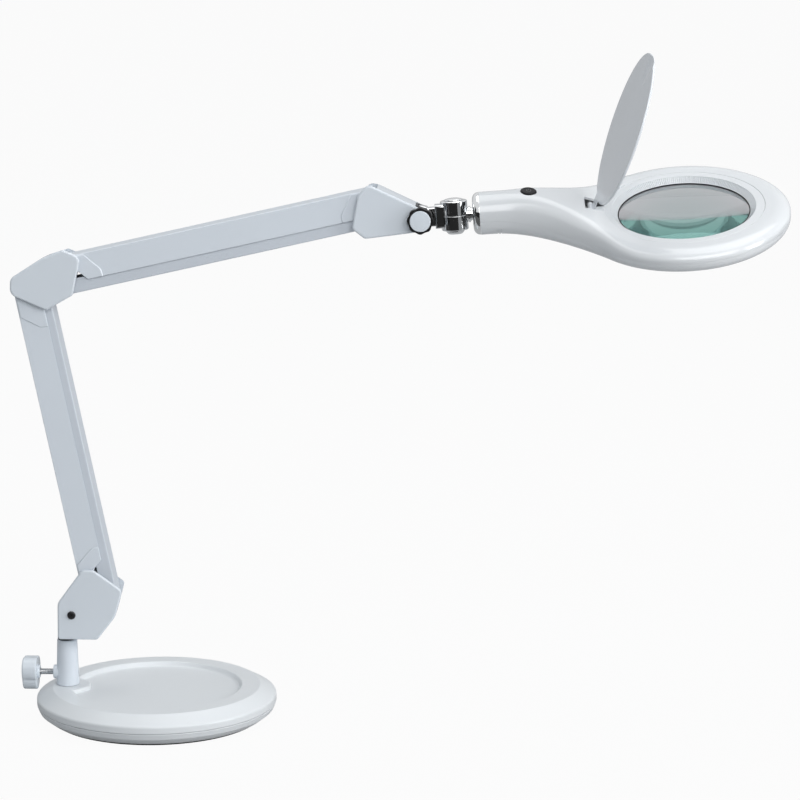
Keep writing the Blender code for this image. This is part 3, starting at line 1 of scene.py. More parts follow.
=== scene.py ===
"""Looks of the magnifying desk lamp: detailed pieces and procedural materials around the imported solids."""
import json
import math

import bmesh
import bpy
from mathutils import Euler, Matrix, Vector


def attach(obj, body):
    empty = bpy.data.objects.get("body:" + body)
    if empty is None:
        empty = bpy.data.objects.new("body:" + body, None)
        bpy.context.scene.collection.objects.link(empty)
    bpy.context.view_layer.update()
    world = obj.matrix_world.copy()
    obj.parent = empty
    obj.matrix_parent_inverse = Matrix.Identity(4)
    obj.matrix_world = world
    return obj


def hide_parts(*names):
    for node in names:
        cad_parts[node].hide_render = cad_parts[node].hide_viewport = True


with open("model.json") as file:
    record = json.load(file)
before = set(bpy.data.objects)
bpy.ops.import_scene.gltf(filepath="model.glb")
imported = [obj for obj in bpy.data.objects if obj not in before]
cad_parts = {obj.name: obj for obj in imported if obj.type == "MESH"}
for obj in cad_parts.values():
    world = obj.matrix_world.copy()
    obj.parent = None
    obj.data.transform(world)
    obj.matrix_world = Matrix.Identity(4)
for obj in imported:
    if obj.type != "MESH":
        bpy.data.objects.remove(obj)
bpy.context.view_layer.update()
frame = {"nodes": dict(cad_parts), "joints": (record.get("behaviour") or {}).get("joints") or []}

# Fits and smoothness
GAP = 0.0003
SEAM = 0.00006
ARC = math.radians(9)
SHARP = math.radians(38)
MERGE = 1e-7
NEAR = 1e-6
MITRE_LEAST = 0.4  # cosine that keeps sharp corners of a moved outline short
FINEST = 256
FINE = 160
ROUND = 64
SMALL = 32

# Materials
EVEN = (1.0, 1.0, 1.0)
NOISE_LOW = 0.3
NOISE_HIGH = 0.7
GLOSS_COARSE = 12.0  # how much coarser the gloss varies than the grain
GRAIN_DEPTH = 0.0004

# Base and post
BASE_R = 0.1175
BASE_H = 0.0305
BASE_TOP_R = 0.1017
BASE_RIM = BASE_H - 0.0086
BASE_SPLIT = BASE_H - 0.0155
BASE_WALL = 0.0025
RECESS_R = 0.0835
RECESS_FLOOR = BASE_H - 0.0045
RECESS_DRAFT = 0.0030
PAD_R = 0.1030
PAD_T = 0.0020
TRAY_FLOOR = 0.0030
TRAY_FOOT_R = 0.1065
TRAY_CHAMFER_R = 0.1150
TRAY_CHAMFER_Z = 0.0088
POST_FOOT_R = 0.0113
POST_TOP_R = 0.0098
POST_LEN = 0.0455
POST_LAND_R = 0.0225
LAND_MARGIN = 0.0040
PAD_RINGS = 9
PAD_RING_FIRST = 0.0060
PAD_RING_STEP = 0.0100
PAD_RING_DEEP = 0.0006
PAD_RING_FLAT = 0.0016
POST_SOLID = 0.0055
SPIGOT_R = 0.0050
SPIGOT_HOLE = (-0.0020, 0.0090)
BOLT_R = 0.0040
BOSS_R = 0.0068
BOSS_REACH = 0.0154
BOSS_SHOWN = 0.0138
STUD_R = 0.0030
STUD_BARE = 0.0118
STUD_PITCH = 0.0010
THREAD_ROWS = 6
THREAD_DEPTH = 0.35  # share of the pitch
THUMB_R = 0.0174
THUMB_T = 0.0140
THUMB_LOBES = 3
THUMB_LOBE = 0.0036
THUMB_VALLEY = math.radians(246)
THUMB_HUB_R = 0.0066
THUMB_HUB = 0.0022
WASHER_R = 0.0092
WASHER_T = 0.0038

# Arm
ARM_HALF = 0.0160
LINK_HALF = 0.0135
SHEET = 0.0015
CHANNEL_BACK = 0.0085
CHANNEL_FRONT = 0.0170
CHANNEL_CHAMFER = 0.0300
CHANNEL_BEND = 0.0024
LINK_BACK = 0.0060
LINK_FRONT = 0.0080
LINK_BEND = 0.0012
LOWER_LEN = 0.3010
UPPER_LEN = 0.3075
LOWER_ANGLE = math.radians(101.5)
UPPER_ANGLE = math.radians(12.75)
PIN_R = 0.0030
PRESSING = 0.0008
PRESSING_WALL = 0.0018
PRESSING_BEND = -0.0100
PRESSING_SLANT = 0.0170
NOTCH_SLANT = 0.0075
NOTCH_Z = -0.0082
SPRING_R = 0.0060
SPRING_WIRE = 0.0009
SPRING_MARGIN = 0.0600
SPRING_CURLS = 46
CURL_POINTS = 14
HOOK_STEP = 0.0020
END_POINTS = 20
BEND_LEAST = 0.25  # share of the rounding along a channel's open edge
LOWER_CUTS = (0.0265, 0.0225)
LOWER_PANEL = (0.0400, 0.0400)
UPPER_CUTS = (0.0266, 0.0180)
UPPER_PANEL = (0.0414, 0.0315)
PRESSING_TOP = 1.4 * CHANNEL_BACK
PRESSING_BOTTOM = -1.2 * CHANNEL_FRONT
END_KEPT = 0.86  # share of the round end's lower half that stays
END_LEAD = 0.9  # where the cut edge points to, as a share of the round end
HOOK_RISE = 0.9  # height of the hook's first bend, as a share of the spring's radius

# Joint covers: corners (x, z, radius) in the frame of the joint that carries them
COVER_HALF = 0.0210
COVER_WALL = 0.0020
COVER_EDGE = 0.0021
COVER_DRAFTS = (0.0008, 0.0022)
FRONT_DRAFTS = (0.0002, 0.0005)
LOWER_RIM_BACK_Z = 0.0550
LOWER_RIM_FRONT_Z = 0.0340
ELBOW_RIM_X = 0.0270
ELBOW_RIM_Z = 0.0070
FRONT_RIM_TOP = (0.0055, 0.0430)
FRONT_RIM_BOTTOM = (0.0090, 0.0350)
ELBOW_SLOPE = (0.0230, 0.0380, 1.8)
FRONT_SLOPE = (0.0070, -0.0020, 6.0)
RIM_STEP = 0.0015
SCREW_HEAD_R = 0.0041
SCREW_HEAD = 0.0016
SCREW_SHANK_R = 0.0020
SCREW_LEN = 0.0040
CROSS_HALF = 0.0021
CROSS_WIDE = 0.00042
CROSS_DEEP = 0.0010
LOWER_SCREW = (0.0077, 0.0249)
LOWER_PIVOT_X = 0.0257
LOWER_COVER = (
    (-0.0065, 0.0000, 0.0030),
    (-0.0060, 0.0365, 0.0120),
    (0.0183, 0.0698, 0.0070),
    (0.0300, 0.0698, 0.0080),
    (0.0578, 0.0497, 0.0060),
    (0.0503, 0.0230, 0.0200),
    (0.0325, 0.0000, 0.0030),
)
ELBOW_SCREW = (0.0160, 0.0099)
ELBOW_COVER = (
    (-0.0112, -0.0045, 0.0090),
    (-0.0105, 0.0112, 0.0080),
    (0.0191, 0.0302, 0.0300),
    (0.0406, 0.0392, 0.0040),
    (0.0575, 0.0322, 0.0080),
    (0.0495, -0.0047, 0.0040),
    (0.0236, -0.0195, 0.0040),
)
FRONT_SCREW = (0.0235, -0.0160)
TILT_X = 0.0475
TILT_Z = -0.0196
TILT_HOLE = 0.0300
FRONT_COVER = (
    (-0.0177, -0.0287, 0.0050),
    (-0.0124, 0.0021, 0.0100),
    (-0.0029, 0.0145, 0.0070),
    (0.0545, -0.0122, 0.0050),
    (0.0550, -0.0302, 0.0060),
    (-0.0054, -0.0381, 0.0040),
)

# Tilt knob and chrome joint
KNOB_R = 0.0127
KNOB_LOBE = 0.0009
KNOB_LOBES = 8
KNOB_T = 0.0095
KNOB_CAP_R = 0.0099
KNOB_CAP_T = 0.0018
KNOB_CAP_DOME = ((0.0, 1.0), (0.7, 0.94), (1.0, 0.8, 0.0007))
HEAD_PITCH = math.radians(4.2)
HEAD_ROLL = math.radians(18.4)
EYE_R = 0.0114
EYE_HALF = 0.0062
BAR_R = 0.0112
BAR_START = 0.0135
BAR_FLAT = 0.0086
WEB_LAP = 0.0015
WEB_HALF = 0.8 * BAR_R
KNUCKLE_U = 0.0318
KNUCKLE_R = 0.0129
KNUCKLE_H = 0.0142
KNUCKLE_HEAD_R = 0.0088
KNUCKLE_HEAD = 0.0020
KNUCKLE_DOME = ((0.0, 1.0), (0.6, 0.92), (1.0, 0.5, 0.0008))
KNUCKLE_NUT = 0.0036
NECK_R = 0.0066
NECK_SPIGOT_R = 0.0060
NECK_LEN = 0.0244
COLLAR_R = NECK_R + 0.0012
COLLAR_BACK = 0.0030
COLLAR_FRONT = 0.0008
SPIGOT_LAP = 0.0015
SPIGOT_PAST = 0.0069
CAP_LEN = 0.0075
CAP_SHOWN = 0.0064
CAP_NOSE_R = 0.0140
CAP_LIP = 0.0050
CAP_LIP_CLEAR = 0.0014
CAP_POINTS = 10

# Head
HANDLE_R = 0.0203
HEAD_LEN = 0.1935
LENS_DROP = 0.0142
RING_R = 0.1010
FLARE_R = 0.1300
RING_TOP = 0.0065
RING_PART = -0.0035
RING_BOTTOM = -0.0170
RING_ROUND = 0.0160
HEAD_WALL = 0.0024
HEAD_SKIRT = 0.0012
RISE_SPAN = (-0.1850, -0.0750)
TOP_RISE_SPAN = (-0.1585, -0.0400)
HANDLE_ROWS = 110
RING_ROWS = 56
EDGE_COLUMNS = 16
FLAT_COLUMNS = 14
HEAD_SCREW_X = -0.1040
HEAD_SCREW_HOLE_R = 0.0033
LENS_R = 0.0650
LENS_VIEW_R = 0.0625
LENS_EDGE = 0.0030
LENS_SAG = 0.0060
LENS_RINGS = 48
LENS_BORE = LENS_R + GAP
LENS_CURVE = LENS_SAG * (1 - (LENS_VIEW_R / LENS_R) ** 2)
BEZEL_R = 0.0768
BEZEL_MOUTH_R = 0.0685
BEZEL_WALL = 0.0022
BEZEL_FOOT = LENS_CURVE + GAP
BEZEL_LOW = RING_TOP - BEZEL_WALL
BEZEL_RIBS = 220
BEZEL_ROWS = 8
RIB_H = 0.0013
RIB_POINTS = 8
RIB_SHARE = 0.6  # cosine over each rib's pitch above which its slot is cut
RIB_TOP = RING_TOP - 0.0005
RIB_LOW = LENS_CURVE + 1.5 * GAP
RIB_REACH = 0.0004
# Thin black ring at the lens rim: painted shade for the dark line round the lens
RIM_SHADE_IN_R = LENS_VIEW_R - 0.0006
RIM_SHADE_OUT_R = LENS_VIEW_R + 0.0004
RIM_SHADE_LOW = LENS_CURVE + 0.4 * GAP
RIM_SHADE_HIGH = LENS_CURVE + 3.0 * GAP
HOLDER_WALL = 0.0024
HOLDER_FLANGE_R = 0.0760
DIFFUSER_R = 0.0857
DIFFUSER_T = 0.0022
RIDGES = 16
RIDGE_MARGIN = 0.0010
RIDGE_H = 0.0004
GROOVE = 0.0006
GROOVE_START = math.radians(24.6)
GROOVE_FROM_END = 0.0160
GROOVE_STEP = 0.0030
GROOVE_COUNT = 3
GROOVE_POINTS = 24
BUTTON_FROM_END = 0.0475
BUTTON_R = 0.0076
BUTTON_PROUD = 0.0013
BUTTON_DISH = ((0.0, 0.78), (0.55, 0.86, 0.0040), (0.86, 1.0, 0.0010), (1.0, 0.45, 0.0008))
LEDGE = 0.0010
LEDGE_T = 0.0014
STEM_R = 0.0030
STEM_LEN = 0.0030
MARK_R = 0.0022
MARK_LINE = 0.00022
MARK_START = math.radians(125)
MARK_SWEEP = math.radians(290)
MARK_BAR = (0.0008, 0.0031)
MARK_POINTS = 30
MARK_LEVEL = 0.80 * BUTTON_PROUD
MARK_SUNK = 0.0003
MARK_PROUD = 0.00016

# Lens cover
HINGE_X = -0.0885
HINGE_Z = 0.0105
PIN_HINGE_R = 0.0012
BARREL_R = 0.0026
BARREL_HALF = 0.0080
LUG_T = 0.0030
EAR_POINTS = 12
COVER_R = 0.0742
COVER_T = 0.0022
COVER_OPEN = math.radians(67)
STRAP_T = 0.0018
STRAP_SHOWN = 0.0009
STRAP_LAP = 0.0170
SCOOP_R = 0.0800
SCOOP_LEN = 0.0200
SCOOP_DEPTH = 0.0014
LID_CROWN = 0.0004
LID_LIP = 0.0022
LID_DISH = 0.0008
STRAP_POINTS = 16

# Stage and camera
FLOOR_HALF = 24.0
CARD_LEFT = -1.6
CARD_RIGHT = 1.24
CARD_FRONT = -1.5
CARD_LOW = 0.010
CARD_LYING = 0.005
LENS_MM = 137.25
SENSOR_MM = 36.0
EYE_POINT = (0.3401006, -2.8861653, 0.8679565)
LOOK_POINT = (0.239313, 0.0, 0.317055)


# Places of the moving groups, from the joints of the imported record

JOINT = {joint["name"]: Vector(joint["pos_m"]) for joint in frame["joints"] if "pos_m" in joint}


def at(point, pitch=0.0, roll=0.0):
    return Matrix.Translation(point) @ Euler((roll, -pitch, 0.0)).to_matrix().to_4x4()


HOME = Matrix()
POST_X = JOINT["swivel_turn"].x
POST = at((POST_X, 0.0, BASE_H + GAP))
THUMB = at(JOINT["thumbscrew_turn"])
SWIVEL = at(JOINT["swivel_turn"])
LOWER = at(JOINT["lower_arm_lean"], LOWER_ANGLE)
LOWER_BAR = at(JOINT["lower_link_turn"], LOWER_ANGLE)
ELBOW = at(JOINT["elbow_level"])
UPPER = at(JOINT["upper_arm_lift"], UPPER_ANGLE)
UPPER_BAR = at(JOINT["upper_link_turn"], UPPER_ANGLE)
FRONT = at(JOINT["front_level"])
KNOB = at(JOINT["tilt_knob_turn"])
TILT = at(JOINT["head_tilt"], HEAD_PITCH)
NECK = at(JOINT["head_yaw"], HEAD_PITCH)
HEAD = at(JOINT["head_roll"], HEAD_PITCH, HEAD_ROLL)
LENS = HEAD @ Matrix.Translation((HEAD_LEN, 0.0, -LENS_DROP))
COVER = LENS @ Matrix.Translation((HINGE_X, 0.0, HINGE_Z)) @ Matrix.Rotation(-COVER_OPEN, 4, "Y")
ALONG_X = Matrix.Rotation(math.pi / 2, 4, "Y")
ALONG_Y = Matrix.Rotation(-math.pi / 2, 4, "X")
ALONG_Y_BACK = Matrix.Rotation(math.pi / 2, 4, "X")


# Materials


def node(tree, kind, **values):
    """New shader node with its inputs set. Underscores stand for spaces."""
    made = tree.nodes.new(kind)
    fill(made, **values)
    return made


def fill(made, **values):
    for name, value in values.items():
        made.inputs[name.replace("_", " ")].default_value = value


def principled(name):
    """New material and its shader."""
    made = bpy.data.materials.new(name)
    made.use_nodes = True
    return made, made.node_tree.nodes["Principled BSDF"]


def noise(tree, coords, scale, detail=3.0, stretch=EVEN):
    mapping = node(tree, "ShaderNodeMapping", Scale=stretch)
    texture = node(tree, "ShaderNodeTexNoise", Scale=scale, Detail=detail)
    tree.links.new(coords.outputs["Object"], mapping.inputs["Vector"])
    tree.links.new(mapping.outputs["Vector"], texture.inputs["Vector"])
    return texture.outputs["Fac"]


def spread(tree, value, low, high):
    """Noise spread between two values."""
    made = node(tree, "ShaderNodeMapRange", From_Min=NOISE_LOW, From_Max=NOISE_HIGH, To_Min=low, To_Max=high)
    tree.links.new(value, made.inputs["Value"])
    return made.outputs["Result"]


def surface(name, slot, color, rough, tone, tone_scale, grain_scale, grain, stretch=EVEN, **values):
    """Principled material with slow tone changes, uneven gloss and a fine surface grain."""
    made, shader = principled(name)
    tree = made.node_tree
    coords = node(tree, "ShaderNodeTexCoord")
    ramp = node(tree, "ShaderNodeValToRGB")
    dark, plain = ramp.color_ramp.elements
    dark.position, plain.position = NOISE_LOW, NOISE_HIGH
    dark.color = (*(c * (1.0 - tone) for c in color), 1.0)
    plain.color = (*color, 1.0)
    tree.links.new(noise(tree, coords, tone_scale), ramp.inputs["Fac"])
    tree.links.new(ramp.outputs["Color"], shader.inputs["Base Color"])
    gloss = spread(tree, noise(tree, coords, grain_scale / GLOSS_COARSE, 4.0, stretch), *rough)
    tree.links.new(gloss, shader.inputs["Roughness"])
    bump = node(tree, "ShaderNodeBump", Strength=grain, Distance=GRAIN_DEPTH)
    tree.links.new(noise(tree, coords, grain_scale, 2.0, stretch), bump.inputs["Height"])
    tree.links.new(bump.outputs["Normal"], shader.inputs["Normal"])
    fill(shader, **values)
    return made


SHELL = surface("shell_plastic", "white_plastic", (0.775, 0.795, 0.815), (0.13, 0.16),
                0.012, 6.0, 700.0, 0.006, Specular_IOR_Level=0.9)
PLASTIC = surface("cover_plastic", "white_plastic", (0.755, 0.805, 0.86), (0.20, 0.23),
                  0.015, 8.0, 1400.0, 0.008)
LID = surface("lid_plastic", "white_plastic", (0.83, 0.86, 0.90), (0.12, 0.15),
              0.015, 8.0, 1600.0, 0.008)
PAINT = surface("powder_paint", "white_paint", (0.76, 0.81, 0.87), (0.29, 0.32),
                0.015, 7.0, 1100.0, 0.008)
# The links' paint is a darker copy of the arm paint: painted shade for the shadow under the channels
LINK_SHADED_PAINT = surface("link_painted_shade", "white_paint", (0.66, 0.705, 0.765), (0.34, 0.38),
                     0.02, 7.0, 1100.0, 0.010)
BASE = surface("base_plastic", "white_plastic", (0.80, 0.825, 0.845), (0.28, 0.31),
               0.012, 7.0, 1800.0, 0.006)
CHROME = surface("chrome_plate", "chrome", (0.80, 0.81, 0.82), (0.03, 0.06),
                 0.02, 20.0, 300.0, 0.008, Metallic=1.0)
STEEL = surface("turned_steel", "steel", (0.50, 0.51, 0.52), (0.24, 0.36),
                0.08, 40.0, 900.0, 0.05, (1.0, 1.0, 12.0), Metallic=1.0)
DARK = surface("blackened_steel", "dark_steel", (0.10, 0.10, 0.105), (0.32, 0.46),
               0.15, 60.0, 900.0, 0.08, Metallic=1.0)
# Near-black frames: painted shade, so the gaps between the covers and the arms look dark
FRAME_SHADE = surface("frame_painted_shade", "steel", (0.030, 0.031, 0.034), (0.40, 0.55),
                0.12, 30.0, 900.0, 0.15)
IRON = surface("cast_iron", "cast_iron", (0.10, 0.10, 0.105), (0.55, 0.75),
               0.25, 60.0, 500.0, 0.5, Metallic=0.6)
BLACK = surface("black_plastic", "black_plastic", (0.008, 0.008, 0.009), (0.44, 0.54),
                0.15, 60.0, 1800.0, 0.10, Specular_IOR_Level=0.25)
BUTTON = surface("button_plastic", "black_plastic", (0.014, 0.014, 0.016), (0.48, 0.60),
                 0.15, 60.0, 1800.0, 0.12, Specular_IOR_Level=0.2)
RUBBER = surface("base_rubber", "rubber", (0.030, 0.030, 0.032), (0.70, 0.85),
                 0.2, 60.0, 1200.0, 0.3)
MARK = surface("grey_mark", "black_plastic", (0.16, 0.165, 0.17), (0.45, 0.55),
               0.05, 200.0, 1800.0, 0.05)
DIFFUSER = surface("frosted_ring", "frosted_plastic", (0.90, 0.91, 0.91), (0.42, 0.55),
                   0.02, 30.0, 1500.0, 0.15, Transmission_Weight=0.25)
BOARD = surface("board_lacquer", "circuit_board", (0.72, 0.76, 0.73), (0.30, 0.45),
                0.1, 120.0, 700.0, 0.1)
# The teal specular tint is a painted reflection: it tints the glass's reflections teal in place of the light
# the glass carries to its edge
GLASS = surface("lens_glass", "lens_glass", (0.86, 0.80, 0.835), (0.0, 0.006),
                0.01, 12.0, 300.0, 0.0,
                Transmission_Weight=1.0, IOR=1.52, Specular_Tint=(0.30, 1.0, 0.93, 1.0))
glass_tree = GLASS.node_tree
glass_tint = node(glass_tree, "ShaderNodeVolumeAbsorption", Color=(0.165, 0.62, 0.54, 1.0), Density=14.0)
glass_tree.links.new(glass_tint.outputs["Volume"], glass_tree.nodes["Material Output"].inputs["Volume"])


# Mesh helpers

def linked(name, data):
    """New object of the scene."""
    obj = bpy.data.objects.new(name, data)
    bpy.context.scene.collection.objects.link(obj)
    return obj


def unpacked(name, bm):
    """Object from a bmesh as it is."""
    mesh = bpy.data.meshes.new(name)
    bm.to_mesh(mesh)
    bm.free()
    return linked(name, mesh)


def solid(name, bm, turn=HOME):
    """Object from a closed bmesh, faces outward."""
    bmesh.ops.remove_doubles(bm, verts=bm.verts, dist=MERGE)
    bmesh.ops.dissolve_degenerate(bm, edges=bm.edges, dist=MERGE)
    bmesh.ops.recalc_face_normals(bm, faces=bm.faces)
    if bm.calc_volume(signed=True) < 0:
        bmesh.ops.reverse_faces(bm, faces=bm.faces)
    bm.transform(turn)
    return unpacked(name, bm)


def loft(name, rings, turn=HOME):
    """Solid skin over rings of as many points each, with both ends closed."""
    bm = bmesh.new()
    rings = [[bm.verts.new(point) for point in ring] for ring in rings]
    for a, b in zip(rings, rings[1:]):
        for k in range(len(a)):
            j = (k + 1) % len(a)
            bm.faces.new((a[k], a[j], b[j], b[k]))
    bm.faces.new(rings[0])
    bm.faces.new(rings[-1])
    return solid(name, bm, turn)


def applied(obj):
    """The object with its modifiers applied."""
    shape = obj.evaluated_get(bpy.context.evaluated_depsgraph_get())
    mesh = bpy.data.meshes.new_from_object(shape)
    old = obj.data
    obj.modifiers.clear()
    obj.data = mesh
    bpy.data.meshes.remove(old)
    return obj


def carve(obj, tools, operation="DIFFERENCE"):
    for tool in tools:
        modifier = obj.modifiers.new("shape", "BOOLEAN")
        modifier.operation = operation
        modifier.solver = "EXACT"
        modifier.object = tool
    applied(obj)
    for tool in tools:
        bpy.data.objects.remove(tool, do_unlink=True)
    return obj


def merge(obj, *tools):
    return carve(obj, tools, "UNION")


def piece(obj, place, mat, body, *nodes):
    """Finish an object as a visible piece: material, smoothing, place, body and the nodes it stands for."""
    mesh = obj.data
    mesh.materials.clear()
    mesh.materials.append(mat)
    for face in mesh.polygons:
        face.material_index = 0
    mesh.shade_smooth()
    mesh.set_sharp_from_angle(angle=SHARP)
    normals = obj.modifiers.new("normals", "WEIGHTED_NORMAL")
    normals.keep_sharp = True
    obj.matrix_world = place
    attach(obj, body)
    if nodes:
        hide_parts(*nodes)
    return obj


def fillet(corners, closed=True):
    """Points of a polyline through corners (a, b, radius), with an arc at each that has a radius."""
    points = []
    last = len(corners) - 1
    for i, (a, b, *size) in enumerate(corners):
        here = Vector((a, b))
        if not size or (not closed and i in (0, last)):
            points.append((a, b))
            continue
        radius = size[0]
        before = (Vector(corners[i - 1][:2]) - here).normalized()
        after = (Vector(corners[(i + 1) % len(corners)][:2]) - here).normalized()
        half = before.angle(after) / 2
        centre = here + (before + after).normalized() * radius / math.sin(half)
        spoke = here + before * radius / math.tan(half) - centre
        turn = math.pi - 2 * half
        side = 1 if before.cross(after) < 0 else -1
        count = max(2, math.ceil(turn / ARC))
        for k in range(count + 1):
            points.append(tuple(centre + Matrix.Rotation(side * turn * k / count, 2) @ spoke))
    return points


def lathe(name, corners, sides=ROUND, turn=HOME, wave=None):
    """Solid turned about Z from corners (radius, height, fillet). A wave changes the radius by the angle."""
    closed = min(corner[0] for corner in corners) > 0
    bm = bmesh.new()
    rings = []
    for r, z in fillet(corners, closed):
        if r < MERGE:
            rings.append([bm.verts.new((0.0, 0.0, z))])
            continue
        ring = []
        for k in range(sides):
            angle = 2 * math.pi * k / sides
            reach = wave(r, z, angle) if wave else r
            ring.append(bm.verts.new((reach * math.cos(angle), reach * math.sin(angle), z)))
        rings.append(ring)
    pairs = list(zip(rings, rings[1:]))
    if closed:
        pairs.append((rings[-1], rings[0]))
    for a, b in pairs:
        for j in range(sides):
            k = (j + 1) % sides
            around = (a[j % len(a)], a[k % len(a)], b[k % len(b)], b[j % len(b)])
            bm.faces.new(tuple(dict.fromkeys(around)))
    return solid(name, bm, turn)


def offset(outline, distance):
    """Counter-clockwise outline moved outwards."""
    moved = []
    for i, point in enumerate(outline):
        here = Vector(point)
        along = (here - Vector(outline[i - 1])).normalized()
        onward = (Vector(outline[(i + 1) % len(outline)]) - here).normalized()
        first = Vector((along.y, -along.x))
        second = Vector((onward.y, -onward.x))
        middle = (first + second).normalized()
        moved.append(here + middle * distance / max(middle.dot(first), MITRE_LEAST))
    return untangled(outline, moved)


def untangled(outline, moved):
    """Moved points, with each tight arc that would turn inside out closed to one point."""
    count = len(outline)
    turned = []
    for i in range(count):
        j = (i + 1) % count
        turned.append((moved[j] - moved[i]).dot(Vector(outline[j]) - Vector(outline[i])) <= 0)
    for i in range(count):
        if turned[i] and not turned[i - 1]:
            run = [i]
            while turned[run[-1]]:
                run.append((run[-1] + 1) % count)
            middle = sum((moved[k] for k in run), Vector((0.0, 0.0))) / len(run)
            for k in run:
                moved[k] = middle.copy()
    return moved


def turned_left(outline):
    """The outline, counter-clockwise."""
    pairs = zip(outline, outline[1:] + outline[:1])
    area = sum(a[0] * b[1] - b[0] * a[1] for a, b in pairs)
    return outline if area > 0 else outline[::-1]


def quarter(edge, count=5):
    """Steps of a rounded edge: (set-in from the side, depth below the face), from the side to the face."""
    turns = [math.pi / 2 * k / count for k in range(count + 1)]
    return [(edge * (1 - math.cos(a)), edge * (1 - math.sin(a))) for a in turns]


def slab(name, outline, low, high, edge=0.0, low_edge=None, weight=None, lying=False, draft=(0.0, 0.0)):
    """Flat outline made thick, with rounded edges: standing in XZ from y=low to high, or lying in XY.

    The draft sets the outline in at the low and the high side.
    """
    low_edge = edge if low_edge is None else low_edge
    outline = turned_left(outline)
    steps = []
    if low_edge:
        steps += [(inset, low + depth) for inset, depth in quarter(low_edge)[::-1]]
    else:
        steps.append((0.0, low))
    if edge:
        steps += [(inset, high - depth) for inset, depth in quarter(edge)]
    else:
        steps.append((0.0, high))
    rings = []
    for inset, level in steps:
        ring = []
        inset += draft[0] + (draft[1] - draft[0]) * (level - low) / (high - low)
        for (x, z), (mx, mz) in zip(outline, offset(outline, -inset)):
            share = weight(x, z) if weight else 1.0
            px, pz = x + (mx - x) * share, z + (mz - z) * share
            ring.append((px, pz, level) if lying else (px, level, pz))
        rings.append(ring)
    return loft(name, rings)


def rod(name, start, end, radius, edge=0.0, sides=SMALL):
    """Round bar between two points, with rounded ends."""
    start, end = Vector(start), Vector(end)
    along = end - start
    corners = [(0.0, 0.0), (radius, 0.0), (radius, along.length), (0.0, along.length)]
    if edge:
        corners[1] += (edge,)
        corners[2] += (edge,)
    turn = Matrix.Translation(start) @ along.to_track_quat("Z", "Y").to_matrix().to_4x4()
    return lathe(name, corners, sides, turn)


def peg(name, x, low, high, radius, edge=0.0, sides=SMALL):
    """Round bar along Z."""
    return rod(name, (x, 0.0, low), (x, 0.0, high), radius, edge, sides)


def cross_rod(name, x, z, half, radius, edge=0.0, sides=SMALL):
    """Round bar along Y."""
    return rod(name, (x, -half, z), (x, half, z), radius, edge, sides)


def band(middle, half, start, sweep, count, centre=(0.0, 0.0)):
    """Outline of a bent strip about a centre."""
    outline = []
    for reach, turns in ((middle - half, range(count + 1)), (middle + half, range(count, -1, -1))):
        for k in turns:
            angle = start + sweep * k / count
            outline.append((centre[0] + reach * math.cos(angle), centre[1] + reach * math.sin(angle)))
    return outline


def circle(radius, count=ROUND, centre=(0.0, 0.0)):
    turns = [2 * math.pi * k / count for k in range(count)]
    return [(centre[0] + radius * math.cos(a), centre[1] + radius * math.sin(a)) for a in turns]


def domed(shares, radius, low, height):
    """Corners of a domed or dished top, from (share of the radius, share of the height, fillet)."""
    return [(radius * a, low + height * b, *edge) for a, b, *edge in shares]


def rectangle(left, right, half):
    return [(left, -half), (right, -half), (right, half), (left, half)]


def lobes(radius, depth, count):
    """Wave that draws a round piece in between its lobes."""
    def wave(r, z, angle):
        return r * (1 - depth / radius * (1 - math.cos(count * angle)) / 2)
    return wave


def cusps(radius, depth, count, first):
    """Wave with sharp valleys: one at the first angle, the others evenly on from there."""
    def wave(r, z, angle):
        return r * (1 - depth / radius * (1 - abs(math.sin(count * (angle - first) / 2))))
    return wave


def thread(name, start, end, radius, pitch, turn=HOME):
    """Threaded bar along Z, with a helical crest."""
    rows = math.ceil((end - start) / pitch * THREAD_ROWS)
    rings = []
    for i in range(rows + 1):
        z = start + (end - start) * i / rows
        fade = min(1.0, min(i, rows - i) / THREAD_ROWS)
        ring = []
        for k in range(SMALL):
            angle = 2 * math.pi * k / SMALL
            phase = (z / pitch - k / SMALL) % 1.0
            r = radius - THREAD_DEPTH * pitch * (1 - fade * (1 - abs(2 * phase - 1)))
            ring.append((r * math.cos(angle), r * math.sin(angle), z))
        rings.append(ring)
    return loft(name, rings, turn)


def cross_screw(name):
    """Pan-head screw, head up along Z, with a cross recess."""
    screw = lathe(name, [
        (0.0, SCREW_HEAD),
        (SCREW_HEAD_R, SCREW_HEAD, 0.0011),
        (SCREW_HEAD_R, 0.0, 0.0002),
        (SCREW_SHANK_R, 0.0),
        (SCREW_SHANK_R, -SCREW_LEN),
        (0.0, -SCREW_LEN),
    ], SMALL)
    tools = []
    for k in range(2):
        bar = slab("cross", rectangle(-CROSS_HALF, CROSS_HALF, CROSS_WIDE),
                   SCREW_HEAD - CROSS_DEEP, SCREW_HEAD + CROSS_DEEP, lying=True)
        bar.data.transform(Matrix.Rotation(math.pi / 4 + k * math.pi / 2, 4, "Z"))
        tools.append(bar)
    return carve(screw, tools)


def keep(mat, *names):
    """CAD solids that stay in view, with a procedural finish."""
    for name in names:
        mesh = frame["nodes"][name].data
        mesh.materials.clear()
        mesh.materials.append(mat)


# Base, post and clamping screw

